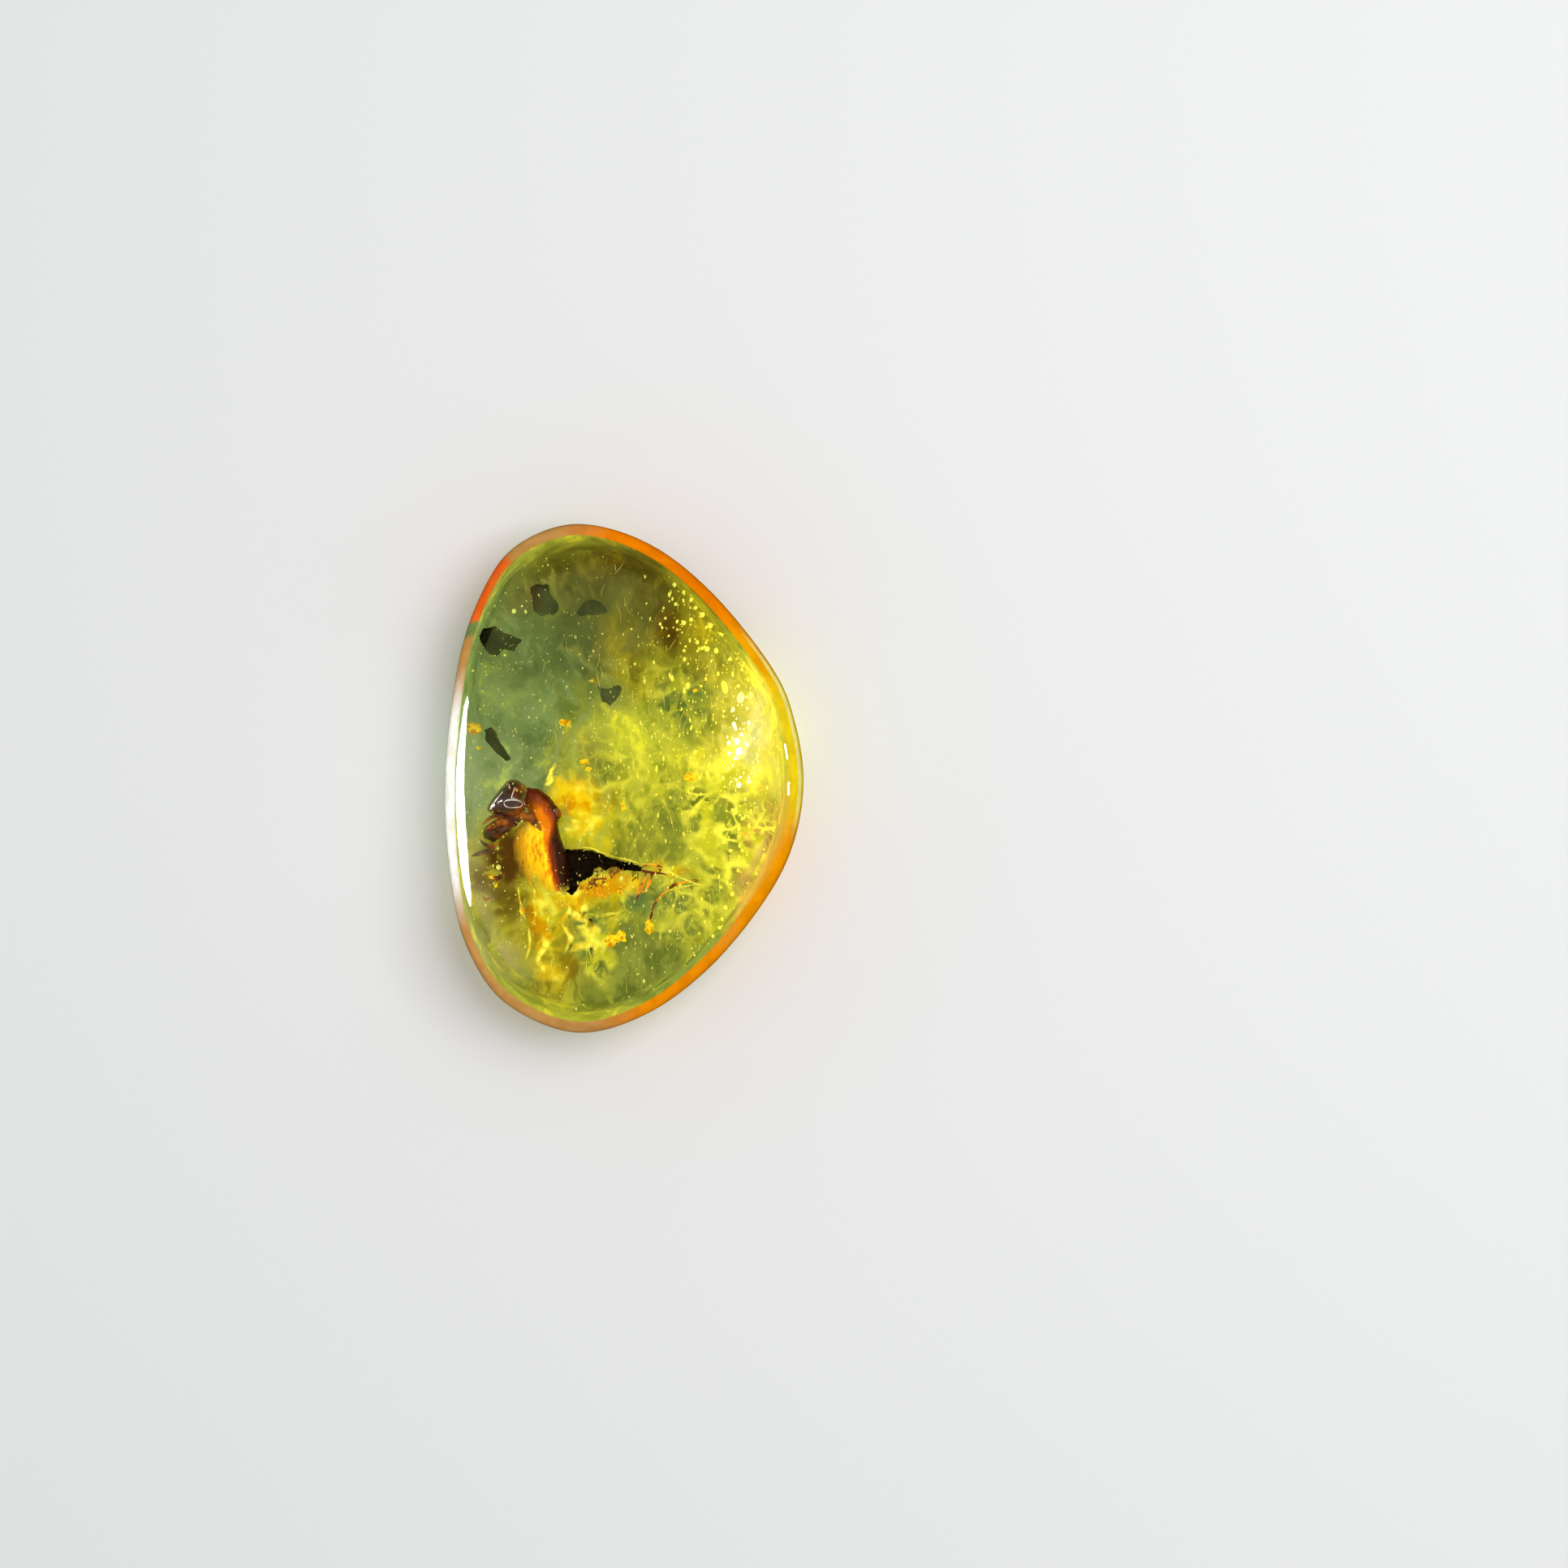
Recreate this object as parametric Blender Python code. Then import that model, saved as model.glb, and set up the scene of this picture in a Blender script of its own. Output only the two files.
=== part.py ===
"""A polished piece of amber, lying on its flat back, with husk, bark and fibre remains sealed inside.

The clear stone is parted level into a back and a front half, so that every sealed piece lies in a pocket
that is open at the parting. X is the width, Y the length and Z the height above the flat back.
"""

import math

import bmesh
import bpy
from mathutils import Matrix, Vector, noise

MM = 0.001
QUARTER_TURN = math.radians(90)

# Driving dimensions of the stone
WIDTH = 21.5 * MM
LENGTH = 30.5 * MM
THICKNESS = 8.0 * MM
GIRDLE_HEIGHT = 3.1 * MM
PARTING_HEIGHT = 3.8 * MM
GAP = 0.2 * MM

# The outline seen from the front, in shares of half the width and half the length
OUTLINE = [
    (1.000, -0.020),
    (0.955, 0.215),
    (0.830, 0.430),
    (0.490, 0.730),
    (0.130, 0.925),
    (-0.265, 1.000),
    (-0.600, 0.915),
    (-0.790, 0.735),
    (-0.925, 0.450),
    (-1.000, 0.000),
    (-0.965, -0.420),
    (-0.860, -0.690),
    (-0.650, -0.890),
    (-0.265, -1.000),
    (0.130, -0.925),
    (0.490, -0.735),
    (0.790, -0.475),
    (0.945, -0.255),
]
OUTLINE_SEGMENTS = 90
OUTLINE_STEPS = 24

# The dome above the girdle and the rounded edge below it, as superellipses
APEX = Vector((-0.6 * MM, -0.5 * MM, 0))
DOME_RINGS = 9
DOME_SIDE_POWER = 2.5
DOME_TOP_POWER = 3.4
TIP_MERGE = 0.01 * MM
EDGE_RINGS = 5
EDGE_POWER = 2.2
BACK_SHARE = 0.74

# The slight unevenness of the hand-polished dome: its height, and its waves in radians per metre
SWELL = 0.10 * MM
SWELL_WAVES = (330, 240)
SWELL_STARTS = (0.7, -0.9)

# How strongly amber bends light, and the step in plan over which the dome's slope is taken
REFRACTION = 1.54
SLOPE_STEP = 0.05 * MM

# The angle in degrees between faces above which an edge is drawn sharp
SHARP_ANGLE = 40
HEAD_SHARP_ANGLE = 25
CHIP_SHARP_ANGLE = 30

# Colour, roughness and clearness of each material
FINISHES = {
    "clear_amber": ((0.62, 0.60, 0.12), 0.05, 1.0),
    "dark_husk": ((0.07, 0.015, 0.008), 0.15, 0.0),
    "orange_husk": ((0.42, 0.10, 0.01), 0.3, 0.0),
    "bark": ((0.015, 0.010, 0.008), 0.7, 0.0),
    "fibre": ((0.25, 0.06, 0.01), 0.5, 0.0),
    "gold_flake": ((0.75, 0.38, 0.03), 0.5, 0.0),
}

# Every place below is in millimetres, in plan as the dome shows it from above, and with its true height

# The husk's glossy head: the corners of its facets, from its widest outline to its top and its underside
HEAD_POINTS = [
    (-6.72, -0.13, 4.35),
    (-6.07, -0.33, 4.35),
    (-5.67, -0.70, 4.35),
    (-5.63, -1.27, 4.35),
    (-5.79, -1.84, 4.35),
    (-6.32, -2.32, 4.35),
    (-6.97, -2.24, 4.35),
    (-7.78, -2.04, 4.35),
    (-8.09, -1.84, 4.35),
    (-7.54, -1.02, 4.35),
    (-7.09, -0.50, 4.35),
    (-6.64, -1.11, 5.42),
    (-7.01, -1.39, 5.30),
    (-5.99, -1.39, 5.38),
    (-6.07, -1.72, 5.30),
    (-6.97, -1.72, 5.18),
    (-6.32, -0.41, 5.02),
    (-6.76, -0.41, 5.00),
    (-7.62, -1.35, 4.98),
    (-7.81, -1.84, 4.90),
    (-6.32, -2.08, 5.00),
    (-5.76, -1.02, 4.98),
    (-6.10, -0.70, 3.55),
    (-6.00, -1.70, 3.55),
    (-6.80, -1.95, 3.55),
    (-7.50, -1.70, 3.55),
    (-7.10, -0.80, 3.55),
]
HEAD_EASE = 0.06

# The husk's body, from the head down: the strap's outer edge, the crease between strap and skin, the
# skin's far edge, and the height of the strap's crest
BODY_ROWS = [
    ((-5.67, -0.54), (-5.67, -1.59), (-5.71, -1.84), 4.85),
    ((-5.02, -0.66), (-5.34, -1.84), (-5.59, -2.04), 4.95),
    ((-4.49, -1.02), (-5.11, -2.24), (-5.75, -2.33), 4.95),
    ((-4.08, -1.55), (-4.85, -2.73), (-6.15, -2.81), 4.90),
    ((-3.78, -2.08), (-4.69, -3.14), (-6.44, -3.30), 4.85),
    ((-3.88, -2.73), (-4.63, -3.54), (-6.60, -3.79), 4.78),
    ((-3.72, -3.46), (-4.57, -4.11), (-6.56, -4.44), 4.70),
    ((-3.43, -4.28), (-4.49, -4.76), (-6.40, -5.09), 4.60),
    ((-3.31, -5.09), (-4.38, -5.50), (-6.20, -5.74), 4.50),
    ((-3.15, -5.90), (-4.22, -6.15), (-5.99, -6.39), 4.38),
    ((-2.98, -6.55), (-4.07, -6.63), (-5.79, -6.96), 4.25),
    ((-3.07, -7.00), (-3.80, -6.86), (-5.34, -7.28), 4.10),
]

# One section through the body, round from the strap's outer edge over its top and back underneath: a
# share of the way from outer edge to crease, or 1 plus a share of the way on to the far edge, and the
# depth below the crest
BODY_SECTION = [
    (0.00, 0.55),
    (0.15, 0.12),
    (0.50, 0.00),
    (1.00, 0.22),
    (1.50, 0.30),
    (2.00, 0.50),
    (1.50, 0.62),
    (1.00, 0.85),
    (0.50, 1.05),
    (0.10, 0.85),
]
BODY_STEPS = 2

# Centre, half sizes, turn in degrees and unevenness of the flap under the head
FLAP = ((-7.35, -2.95, 4.05), (1.05, 0.55, 0.42), 28, 0.30)

LOOPED_FIBRE = [
    (1.50, -5.34, 3.85),
    (1.82, -5.08, 3.90),
    (2.24, -5.12, 3.90),
    (2.44, -5.50, 3.85),
    (2.10, -5.84, 3.75),
    (1.68, -6.16, 3.75),
    (1.28, -6.70, 3.80),
    (0.88, -7.27, 3.80),
]
LONG_FIBRE = [
    (4.46, -6.08, 3.90),
    (3.52, -6.23, 3.90),
    (2.95, -6.43, 3.85),
    (2.54, -6.76, 3.80),
    (2.14, -7.12, 3.80),
    (1.85, -7.53, 3.80),
    (1.71, -7.94, 3.80),
    (1.58, -8.42, 3.80),
]
FIBRE_RADIUS = 0.10

# A tube closes with a short end, as a share of its last radius: how far it reaches and how wide it is
TUBE_END_REACH = 0.3
TUBE_END_SHARE = 0.6
TUBE_MERGE = 0.0001 * MM

ARCHED_PATH = [
    (-2.62, 9.80, 3.65),
    (-2.25, 10.10, 3.65),
    (-1.85, 10.18, 3.65),
    (-1.40, 10.12, 3.65),
    (-0.98, 9.92, 3.65),
]
ARCHED_RADII = [0.14, 0.36, 0.42, 0.34, 0.12]

# Flat ragged chips: name, material, lowest and highest point at the first corner's end and at the other
# end, and the outline in plan
CHIPS = [
    (
        "bark_splinter",
        "bark",
        (3.35, 4.45),
        (3.62, 3.98),
        [
            (-3.63, -5.66),
            (-3.47, -4.28),
            (-2.66, -4.26),
            (-1.93, -4.32),
            (-1.28, -4.56),
            (-0.71, -4.81),
            (0.43, -5.06),
            (1.12, -5.27),
            (1.05, -5.55),
            (0.43, -5.50),
            (-0.14, -5.45),
            (-0.40, -5.21),
            (-0.68, -5.24),
            (-1.03, -5.46),
            (-1.44, -5.25),
            (-1.72, -5.38),
            (-1.93, -5.86),
            (-2.62, -6.15),
            (-2.80, -6.63),
            (-3.07, -7.00),
            (-3.39, -6.76),
        ],
    ),
    (
        "crumb_upper",
        "bark",
        (3.20, 4.00),
        (3.30, 3.95),
        [
            (-5.59, 11.32),
            (-5.20, 11.58),
            (-4.51, 11.54),
            (-4.37, 10.88),
            (-4.00, 10.57),
            (-3.85, 10.08),
            (-4.17, 9.71),
            (-4.61, 9.85),
            (-4.90, 9.71),
            (-5.31, 10.02),
            (-5.47, 10.68),
        ],
    ),
    (
        "crumb_left",
        "bark",
        (3.40, 4.25),
        (3.55, 4.10),
        [
            (-8.66, 8.39),
            (-8.34, 8.95),
            (-7.68, 9.04),
            (-7.22, 8.65),
            (-6.56, 8.44),
            (-6.12, 8.24),
            (-6.56, 7.61),
            (-7.13, 7.76),
            (-7.54, 7.32),
            (-8.02, 7.41),
            (-8.37, 7.90),
        ],
    ),
    (
        "crumb_middle",
        "bark",
        (3.30, 3.95),
        (3.40, 3.95),
        [
            (-1.51, 5.46),
            (-0.90, 5.32),
            (-0.24, 5.49),
            (-0.10, 5.30),
            (-0.46, 4.73),
            (-0.81, 4.32),
            (-1.21, 4.59),
        ],
    ),
    (
        "wood_sliver",
        "bark",
        (3.50, 4.20),
        (3.65, 4.00),
        [
            (-8.22, 2.86),
            (-7.88, 3.02),
            (-7.59, 2.73),
            (-7.32, 2.05),
            (-6.68, 1.14),
            (-7.02, 1.04),
            (-7.63, 1.61),
            (-8.12, 2.20),
        ],
    ),
    (
        "gold_flake",
        "gold_flake",
        (3.60, 4.02),
        (3.60, 4.02),
        [
            (-1.15, -9.68),
            (-0.83, -9.44),
            (-0.50, -9.38),
            (-0.20, -9.09),
            (0.11, -9.25),
            (0.20, -9.74),
            (-0.18, -9.66),
            (-0.46, -9.81),
            (-0.72, -10.13),
            (-0.99, -10.01),
        ],
    ),
]
CHIP_EASE = 0.09

# Centre, half sizes, turn in degrees and unevenness of the round gold drop
GOLD_DROP = ((-8.93, 2.93, 3.85), (0.36, 0.38, 0.30), 0, 0.08)

# The waviness of a lump's surface, broad and fine, and how much weaker the fine one is
LUMP_BROAD = 1.7
LUMP_FINE = 3.9
LUMP_FINE_SHARE = 0.5
LUMP_VARIETY = 3
LUMP_DETAIL = 2

# The most that a corner moves further than its faces when a piece is grown
GROWTH_LIMIT = 1.6


def finish(name):
    """The material of that name, made once from its row in FINISHES."""
    found = bpy.data.materials.get(name)
    if found:
        return found
    colour, roughness, clearness = FINISHES[name]
    material = bpy.data.materials.new(name)
    material.use_nodes = True
    shader = material.node_tree.nodes["Principled BSDF"]
    shader.inputs["Base Color"].default_value = (*colour, 1)
    shader.inputs["Roughness"].default_value = roughness
    shader.inputs["Metallic"].default_value = 0.0
    shader.inputs["Transmission Weight"].default_value = clearness
    return material


def place(name, mesh, material, sharp_angle=SHARP_ANGLE):
    """An object of that name in the scene, shaded smooth up to the sharp angle."""
    thing = bpy.data.objects.new(name, mesh)
    bpy.context.scene.collection.objects.link(thing)
    mesh.shade_smooth()
    mesh.set_sharp_from_angle(angle=math.radians(sharp_angle))
    mesh.materials.clear()
    mesh.materials.append(finish(material))
    return thing


def cutter(name, mesh):
    """A hidden guide that only cuts a pocket or a neighbour's face."""
    guide = bpy.data.objects.new(name, mesh)
    bpy.context.scene.collection.objects.link(guide)
    guide.hide_render = True
    guide.display_type = "WIRE"
    return guide


def mesh_from(bm, name):
    """A mesh made from a bmesh with its faces pointing out; the bmesh is freed."""
    bmesh.ops.recalc_face_normals(bm, faces=bm.faces)
    mesh = bpy.data.meshes.new(name)
    bm.to_mesh(mesh)
    bm.free()
    return mesh


def spline_point(points, i, t, closed):
    """The point a share t of the way from point i to the next, on a smooth curve through all of them."""
    count = len(points)
    near = [(i + k) % count if closed else min(max(i + k, 0), count - 1) for k in (-1, 0, 1, 2)]
    before, start, end, after = (Vector(points[n]) for n in near)
    return 0.5 * (
        2 * start
        + (end - before) * t
        + (2 * before - 5 * start + 4 * end - after) * t**2
        + (3 * start - before - 3 * end + after) * t**3
    )


def even_loop(points, count):
    """That many points, evenly spaced, on the smooth closed curve through the given points."""
    shares = [k / OUTLINE_STEPS for k in range(OUTLINE_STEPS)]
    dense = [spline_point(points, i, share, True) for i in range(len(points)) for share in shares]
    reach = [0.0]
    for a, b in zip(dense, dense[1:] + dense[:1]):
        reach.append(reach[-1] + (b - a).length)
    even = []
    piece = 0
    for i in range(count):
        target = reach[-1] * i / count
        while reach[piece + 1] < target:
            piece += 1
        share = (target - reach[piece]) / (reach[piece + 1] - reach[piece])
        even.append(dense[piece].lerp(dense[(piece + 1) % len(dense)], share))
    return even


def girdle_points():
    """The stone's widest outline, centred on the origin and exactly as wide and as long as the stone."""
    points = even_loop([(x * WIDTH / 2, y * LENGTH / 2) for x, y in OUTLINE], OUTLINE_SEGMENTS)
    low = Vector((min(p.x for p in points), min(p.y for p in points)))
    high = Vector((max(p.x for p in points), max(p.y for p in points)))
    middle = (low + high) / 2
    fit_x = WIDTH / (high.x - low.x)
    fit_y = LENGTH / (high.y - low.y)
    return [Vector(((p.x - middle.x) * fit_x, (p.y - middle.y) * fit_y, 0)) for p in points]


GIRDLE = girdle_points()


def swell(spot):
    """How far hand polishing left the dome above or below its even shape."""
    across = math.sin(SWELL_WAVES[0] * spot.x + SWELL_STARTS[0])
    along = math.cos(SWELL_WAVES[1] * spot.y + SWELL_STARTS[1])
    return SWELL * across * along


def dome_height(spot, rise):
    """The dome's height over a spot in plan, where rise goes from 0 at the girdle to 1 at the apex."""
    return GIRDLE_HEIGHT + (THICKNESS - SWELL - GIRDLE_HEIGHT + swell(spot)) * rise


def roof_over(spot):
    """The dome's height over a spot in plan."""
    way = (spot - APEX).xy
    share = 0.0
    for a, b in zip(GIRDLE, GIRDLE[1:] + GIRDLE[:1]):
        start = (a - APEX).xy
        end = (b - APEX).xy
        if start.cross(way) >= 0 and way.cross(end) > 0:
            share = way.cross(end - start) / start.cross(end - start)
    return dome_height(spot, (1 - share**DOME_SIDE_POWER) ** (1 / DOME_TOP_POWER))


def true_place(point):
    """Where a sealed point really lies, in millimetres: the dome bends light, so it shows further out."""
    spot = Vector(point) * MM
    step_x = Vector((SLOPE_STEP, 0, 0))
    step_y = Vector((0, SLOPE_STEP, 0))
    slope_x = (roof_over(spot + step_x) - roof_over(spot - step_x)) / (2 * SLOPE_STEP)
    slope_y = (roof_over(spot + step_y) - roof_over(spot - step_y)) / (2 * SLOPE_STEP)
    normal = Vector((-slope_x, -slope_y, 1)).normalized()
    bend = 1 / REFRACTION
    along = bend * normal.z - math.sqrt(1 - bend**2 * (1 - normal.z**2))
    ray = normal * along - Vector((0, 0, bend))
    depth = (roof_over(spot) - spot.z) / -ray.z
    return Vector(((spot.x + ray.x * depth) / MM, (spot.y + ray.y * depth) / MM, point[2]))


def pebble_mesh(name):
    """The whole stone: the girdle's edges extruded in rings up to the apex, and down to the flat back."""
    bm = bmesh.new()
    spoke = bm.verts.layers.int.new("spoke")
    made = bmesh.ops.create_circle(bm, segments=OUTLINE_SEGMENTS, radius=WIDTH / 2)["verts"]
    for i, (vert, point) in enumerate(zip(made, GIRDLE)):
        vert[spoke] = i
        vert.co = point + Vector((0, 0, GIRDLE_HEIGHT))
    waist = list(bm.edges)

    def next_ring(edges, share, towards, height):
        """Extrudes the open edges to a ring that is scaled towards a point in plan."""
        grown = bmesh.ops.extrude_edge_only(bm, edges=edges)["geom"]
        verts = {g for g in grown if isinstance(g, bmesh.types.BMVert)}
        for vert in verts:
            spot = GIRDLE[vert[spoke]] * share + towards * (1 - share)
            vert.co = Vector((spot.x, spot.y, height(spot)))
        return [g for g in grown if isinstance(g, bmesh.types.BMEdge) and verts.issuperset(g.verts)]

    edges = waist
    for i in range(DOME_RINGS):
        angle = QUARTER_TURN * (i + 1) / (DOME_RINGS + 1)
        share = math.cos(angle) ** (2 / DOME_SIDE_POWER)
        rise = math.sin(angle) ** (2 / DOME_TOP_POWER)
        edges = next_ring(edges, share, APEX, lambda spot: dome_height(spot, rise))
    edges = next_ring(edges, 0.0, APEX, lambda spot: dome_height(spot, 1.0))
    tip = {v for e in edges for v in e.verts}
    bmesh.ops.remove_doubles(bm, verts=list(tip), dist=TIP_MERGE)

    edges = waist
    back_middle = Vector((0, 0, 0))
    for i in range(EDGE_RINGS):
        angle = QUARTER_TURN * (i + 1) / EDGE_RINGS
        across = max(0.0, math.cos(angle)) ** (2 / EDGE_POWER)
        share = BACK_SHARE + (1 - BACK_SHARE) * across
        drop = math.sin(angle) ** (2 / EDGE_POWER)
        edges = next_ring(edges, share, back_middle, lambda spot: GIRDLE_HEIGHT * (1 - drop))
    bmesh.ops.contextual_create(bm, geom=edges)
    return mesh_from(bm, name)


def half_stone(name, stone, height, keep_above):
    """The part of the stone above or below a level, closed with a flat face there."""
    bm = bmesh.new()
    bm.from_mesh(stone)
    cut = bmesh.ops.bisect_plane(
        bm,
        geom=bm.verts[:] + bm.edges[:] + bm.faces[:],
        plane_co=(0, 0, height),
        plane_no=(0, 0, 1),
        clear_inner=keep_above,
        clear_outer=not keep_above,
    )
    rim = [g for g in cut["geom_cut"] if isinstance(g, bmesh.types.BMEdge)]
    bmesh.ops.contextual_create(bm, geom=rim)
    return place(name, mesh_from(bm, name), "clear_amber")


def grow_out(bm, grow):
    """Moves every face of a piece out by that many millimetres."""
    bm.normal_update()
    moves = [vert.normal * grow * min(GROWTH_LIMIT, vert.calc_shell_factor()) for vert in bm.verts]
    for vert, move in zip(bm.verts, moves):
        vert.co += move


def lump_mesh(name, centre, size, turn, unevenness, grow=0.0, detail=LUMP_DETAIL):
    """An uneven rounded lump, all given in millimetres. Grow makes it that much larger all round."""
    bm = bmesh.new()
    bmesh.ops.create_icosphere(bm, subdivisions=detail, radius=1)
    offset = Vector(centre) * LUMP_VARIETY
    for vert in bm.verts:
        rough = 1 + unevenness * noise.noise(vert.co * LUMP_BROAD + offset)
        ragged = 1 + unevenness * LUMP_FINE_SHARE * noise.noise(vert.co * LUMP_FINE + offset)
        vert.co = Vector(a * b for a, b in zip(vert.co * rough * ragged, size))
    grow_out(bm, grow)
    move = Matrix.Translation(true_place(centre)) @ Matrix.Rotation(math.radians(turn), 4, "Z")
    bm.transform(Matrix.Scale(MM, 4) @ move)
    return mesh_from(bm, name)


def head_mesh(name, grow=0.0):
    """The glossy head: the tightest skin round its corners, with the edges between its facets eased."""
    bm = bmesh.new()
    for point in HEAD_POINTS:
        bm.verts.new(true_place(point))
    made = bmesh.ops.convex_hull(bm, input=bm.verts)
    loose = {g for g in made["geom_interior"] + made["geom_unused"] if isinstance(g, bmesh.types.BMVert)}
    bmesh.ops.delete(bm, geom=list(loose), context="VERTS")
    bmesh.ops.bevel(
        bm,
        geom=bm.edges[:],
        offset=HEAD_EASE,
        offset_type="OFFSET",
        affect="EDGES",
        segments=1,
        profile=0.5,
        material=-1,
    )
    grow_out(bm, grow)
    bm.transform(Matrix.Scale(MM, 4))
    return mesh_from(bm, name)


def body_ring(row):
    """The points of one section through the husk's body, on a smooth closed curve."""
    outer, crease, far, crest = row
    corners = []
    for share, depth in BODY_SECTION:
        start, end = (Vector(outer), Vector(crease)) if share <= 1 else (Vector(crease), Vector(far))
        spot = start.lerp(end, share if share <= 1 else share - 1)
        corners.append(true_place((spot.x, spot.y, crest - depth)))
    shares = [k / BODY_STEPS for k in range(BODY_STEPS)]
    return [spline_point(corners, i, share, True) for i in range(len(corners)) for share in shares]


def body_mesh(name, grow=0.0):
    """The husk's body: one section extruded from row to row, a thick strap with a thin skin beside it."""
    rings = [body_ring(row) for row in BODY_ROWS]
    bm = bmesh.new()
    place_of = bm.verts.layers.int.new("place")
    made = bmesh.ops.create_circle(bm, segments=len(rings[0]), radius=1, cap_ends=True)["verts"]
    for i, (vert, point) in enumerate(zip(made, rings[0])):
        vert[place_of] = i
        vert.co = point
    edges = bm.edges[:]
    for ring in rings[1:]:
        grown = bmesh.ops.extrude_edge_only(bm, edges=edges)["geom"]
        verts = {g for g in grown if isinstance(g, bmesh.types.BMVert)}
        for vert in verts:
            vert.co = ring[vert[place_of]]
        edges = [g for g in grown if isinstance(g, bmesh.types.BMEdge) and verts.issuperset(g.verts)]
    bmesh.ops.contextual_create(bm, geom=edges)
    bmesh.ops.recalc_face_normals(bm, faces=bm.faces)
    bmesh.ops.triangulate(bm, faces=bm.faces)
    grow_out(bm, grow)
    bm.transform(Matrix.Scale(MM, 4))
    return mesh_from(bm, name)


def tube_mesh(name, path, radii, grow=0.0, steps=3, sides=2):
    """A round closed tube along a smooth curve through the path, its radius changing from point to point."""
    path = [true_place(point) for point in path]
    spots = []
    for i in range(len(path) - 1):
        for k in range(steps):
            t = k / steps
            spots.append((spline_point(path, i, t, False), radii[i] + (radii[i + 1] - radii[i]) * t))
    spots.append((path[-1], radii[-1]))
    start_way = (spots[0][0] - spots[1][0]).normalized()
    end_way = (spots[-1][0] - spots[-2][0]).normalized()
    start = spots[0][0] + start_way * (TUBE_END_REACH * radii[0] + grow)
    end = spots[-1][0] + end_way * (TUBE_END_REACH * radii[-1] + grow)
    spots.insert(0, (start, radii[0] * TUBE_END_SHARE))
    spots.append((end, radii[-1] * TUBE_END_SHARE))
    curve = bpy.data.curves.new(name, "CURVE")
    curve.dimensions = "3D"
    curve.bevel_depth = MM
    curve.bevel_resolution = sides
    curve.use_fill_caps = True
    spline = curve.splines.new("POLY")
    spline.points.add(len(spots) - 1)
    for point, (spot, radius) in zip(spline.points, spots):
        point.co = (*(spot * MM), 1)
        point.radius = radius + grow
    holder = bpy.data.objects.new(name, curve)
    bpy.context.scene.collection.objects.link(holder)
    bpy.context.view_layer.update()
    mesh = bpy.data.meshes.new_from_object(holder.evaluated_get(bpy.context.evaluated_depsgraph_get()))
    bpy.data.objects.remove(holder)
    bm = bmesh.new()
    bm.from_mesh(mesh)
    bmesh.ops.remove_doubles(bm, verts=bm.verts, dist=TUBE_MERGE)
    return mesh_from(bm, name)


def chip_mesh(name, start_heights, end_heights, outline, grow=0.0):
    """A flat chip: its outline extruded, its heights changing towards the far end, its long edges eased."""
    first_x = outline[0][0]
    reach = max((x - first_x for x, y in outline), key=abs)
    bm = bmesh.new()
    corners = [bm.verts.new((x, y, 0)) for x, y in outline]
    face = bm.faces.new(corners)
    grown = bmesh.ops.extrude_face_region(bm, geom=[face])["geom"]
    upper = {g for g in grown if isinstance(g, bmesh.types.BMVert)}
    for vert in bm.verts:
        side = 1 if vert in upper else 0
        share = (vert.co.x - first_x) / reach
        height = start_heights[side] + (end_heights[side] - start_heights[side]) * share
        vert.co = true_place((vert.co.x, vert.co.y, height))
    bmesh.ops.recalc_face_normals(bm, faces=bm.faces)
    bmesh.ops.bevel(
        bm,
        geom=[e for e in bm.edges if len({v in upper for v in e.verts}) == 1],
        offset=CHIP_EASE,
        offset_type="OFFSET",
        affect="EDGES",
        segments=1,
        profile=0.5,
        material=-1,
    )
    bmesh.ops.triangulate(bm, faces=bm.faces)
    grow_out(bm, grow)
    bm.transform(Matrix.Scale(MM, 4))
    return mesh_from(bm, name)


def boolean(thing, operation, other):
    """Adds the join with, or the cut by, another object."""
    modifier = thing.modifiers.new(operation.lower(), "BOOLEAN")
    modifier.operation = operation
    modifier.solver = "EXACT"
    modifier.object = other


def make_remains():
    """Every sealed piece in its place. Returns the guides that are each piece grown by the gap."""
    room = GAP / MM
    place("husk_head", head_mesh("husk_head"), "dark_husk", HEAD_SHARP_ANGLE)
    head_room = cutter("guide_head", head_mesh("guide_head", room))

    body = place("husk_body", body_mesh("husk_body"), "orange_husk")
    boolean(body, "DIFFERENCE", head_room)
    body_room = cutter("guide_body", body_mesh("guide_body", room))

    flap = place("husk_flap", lump_mesh("husk_flap", *FLAP), "dark_husk")
    boolean(flap, "DIFFERENCE", head_room)
    boolean(flap, "DIFFERENCE", body_room)
    flap_room = cutter("guide_flap", lump_mesh("guide_flap", *FLAP, room))
    rooms = [head_room, body_room, flap_room]

    for name, material, start_heights, end_heights, outline in CHIPS:
        chip = place(name, chip_mesh(name, start_heights, end_heights, outline), material, CHIP_SHARP_ANGLE)
        if name == "bark_splinter":
            boolean(chip, "DIFFERENCE", body_room)
        guide = "guide_" + name
        rooms.append(cutter(guide, chip_mesh(guide, start_heights, end_heights, outline, room)))

    for name, path in (("looped_fibre", LOOPED_FIBRE), ("long_fibre", LONG_FIBRE)):
        radii = [FIBRE_RADIUS] * len(path)
        place(name, tube_mesh(name, path, radii, steps=2, sides=1), "fibre")
        rooms.append(cutter("guide_" + name, tube_mesh("guide_" + name, path, radii, room, 2, 1)))

    place("crumb_arched", tube_mesh("crumb_arched", ARCHED_PATH, ARCHED_RADII, steps=2), "bark")
    rooms.append(cutter("guide_arched", tube_mesh("guide_arched", ARCHED_PATH, ARCHED_RADII, room, 2)))

    place("gold_drop", lump_mesh("gold_drop", *GOLD_DROP), "gold_flake")
    rooms.append(cutter("guide_drop", lump_mesh("guide_drop", *GOLD_DROP, room, 1)))
    return rooms


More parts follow.
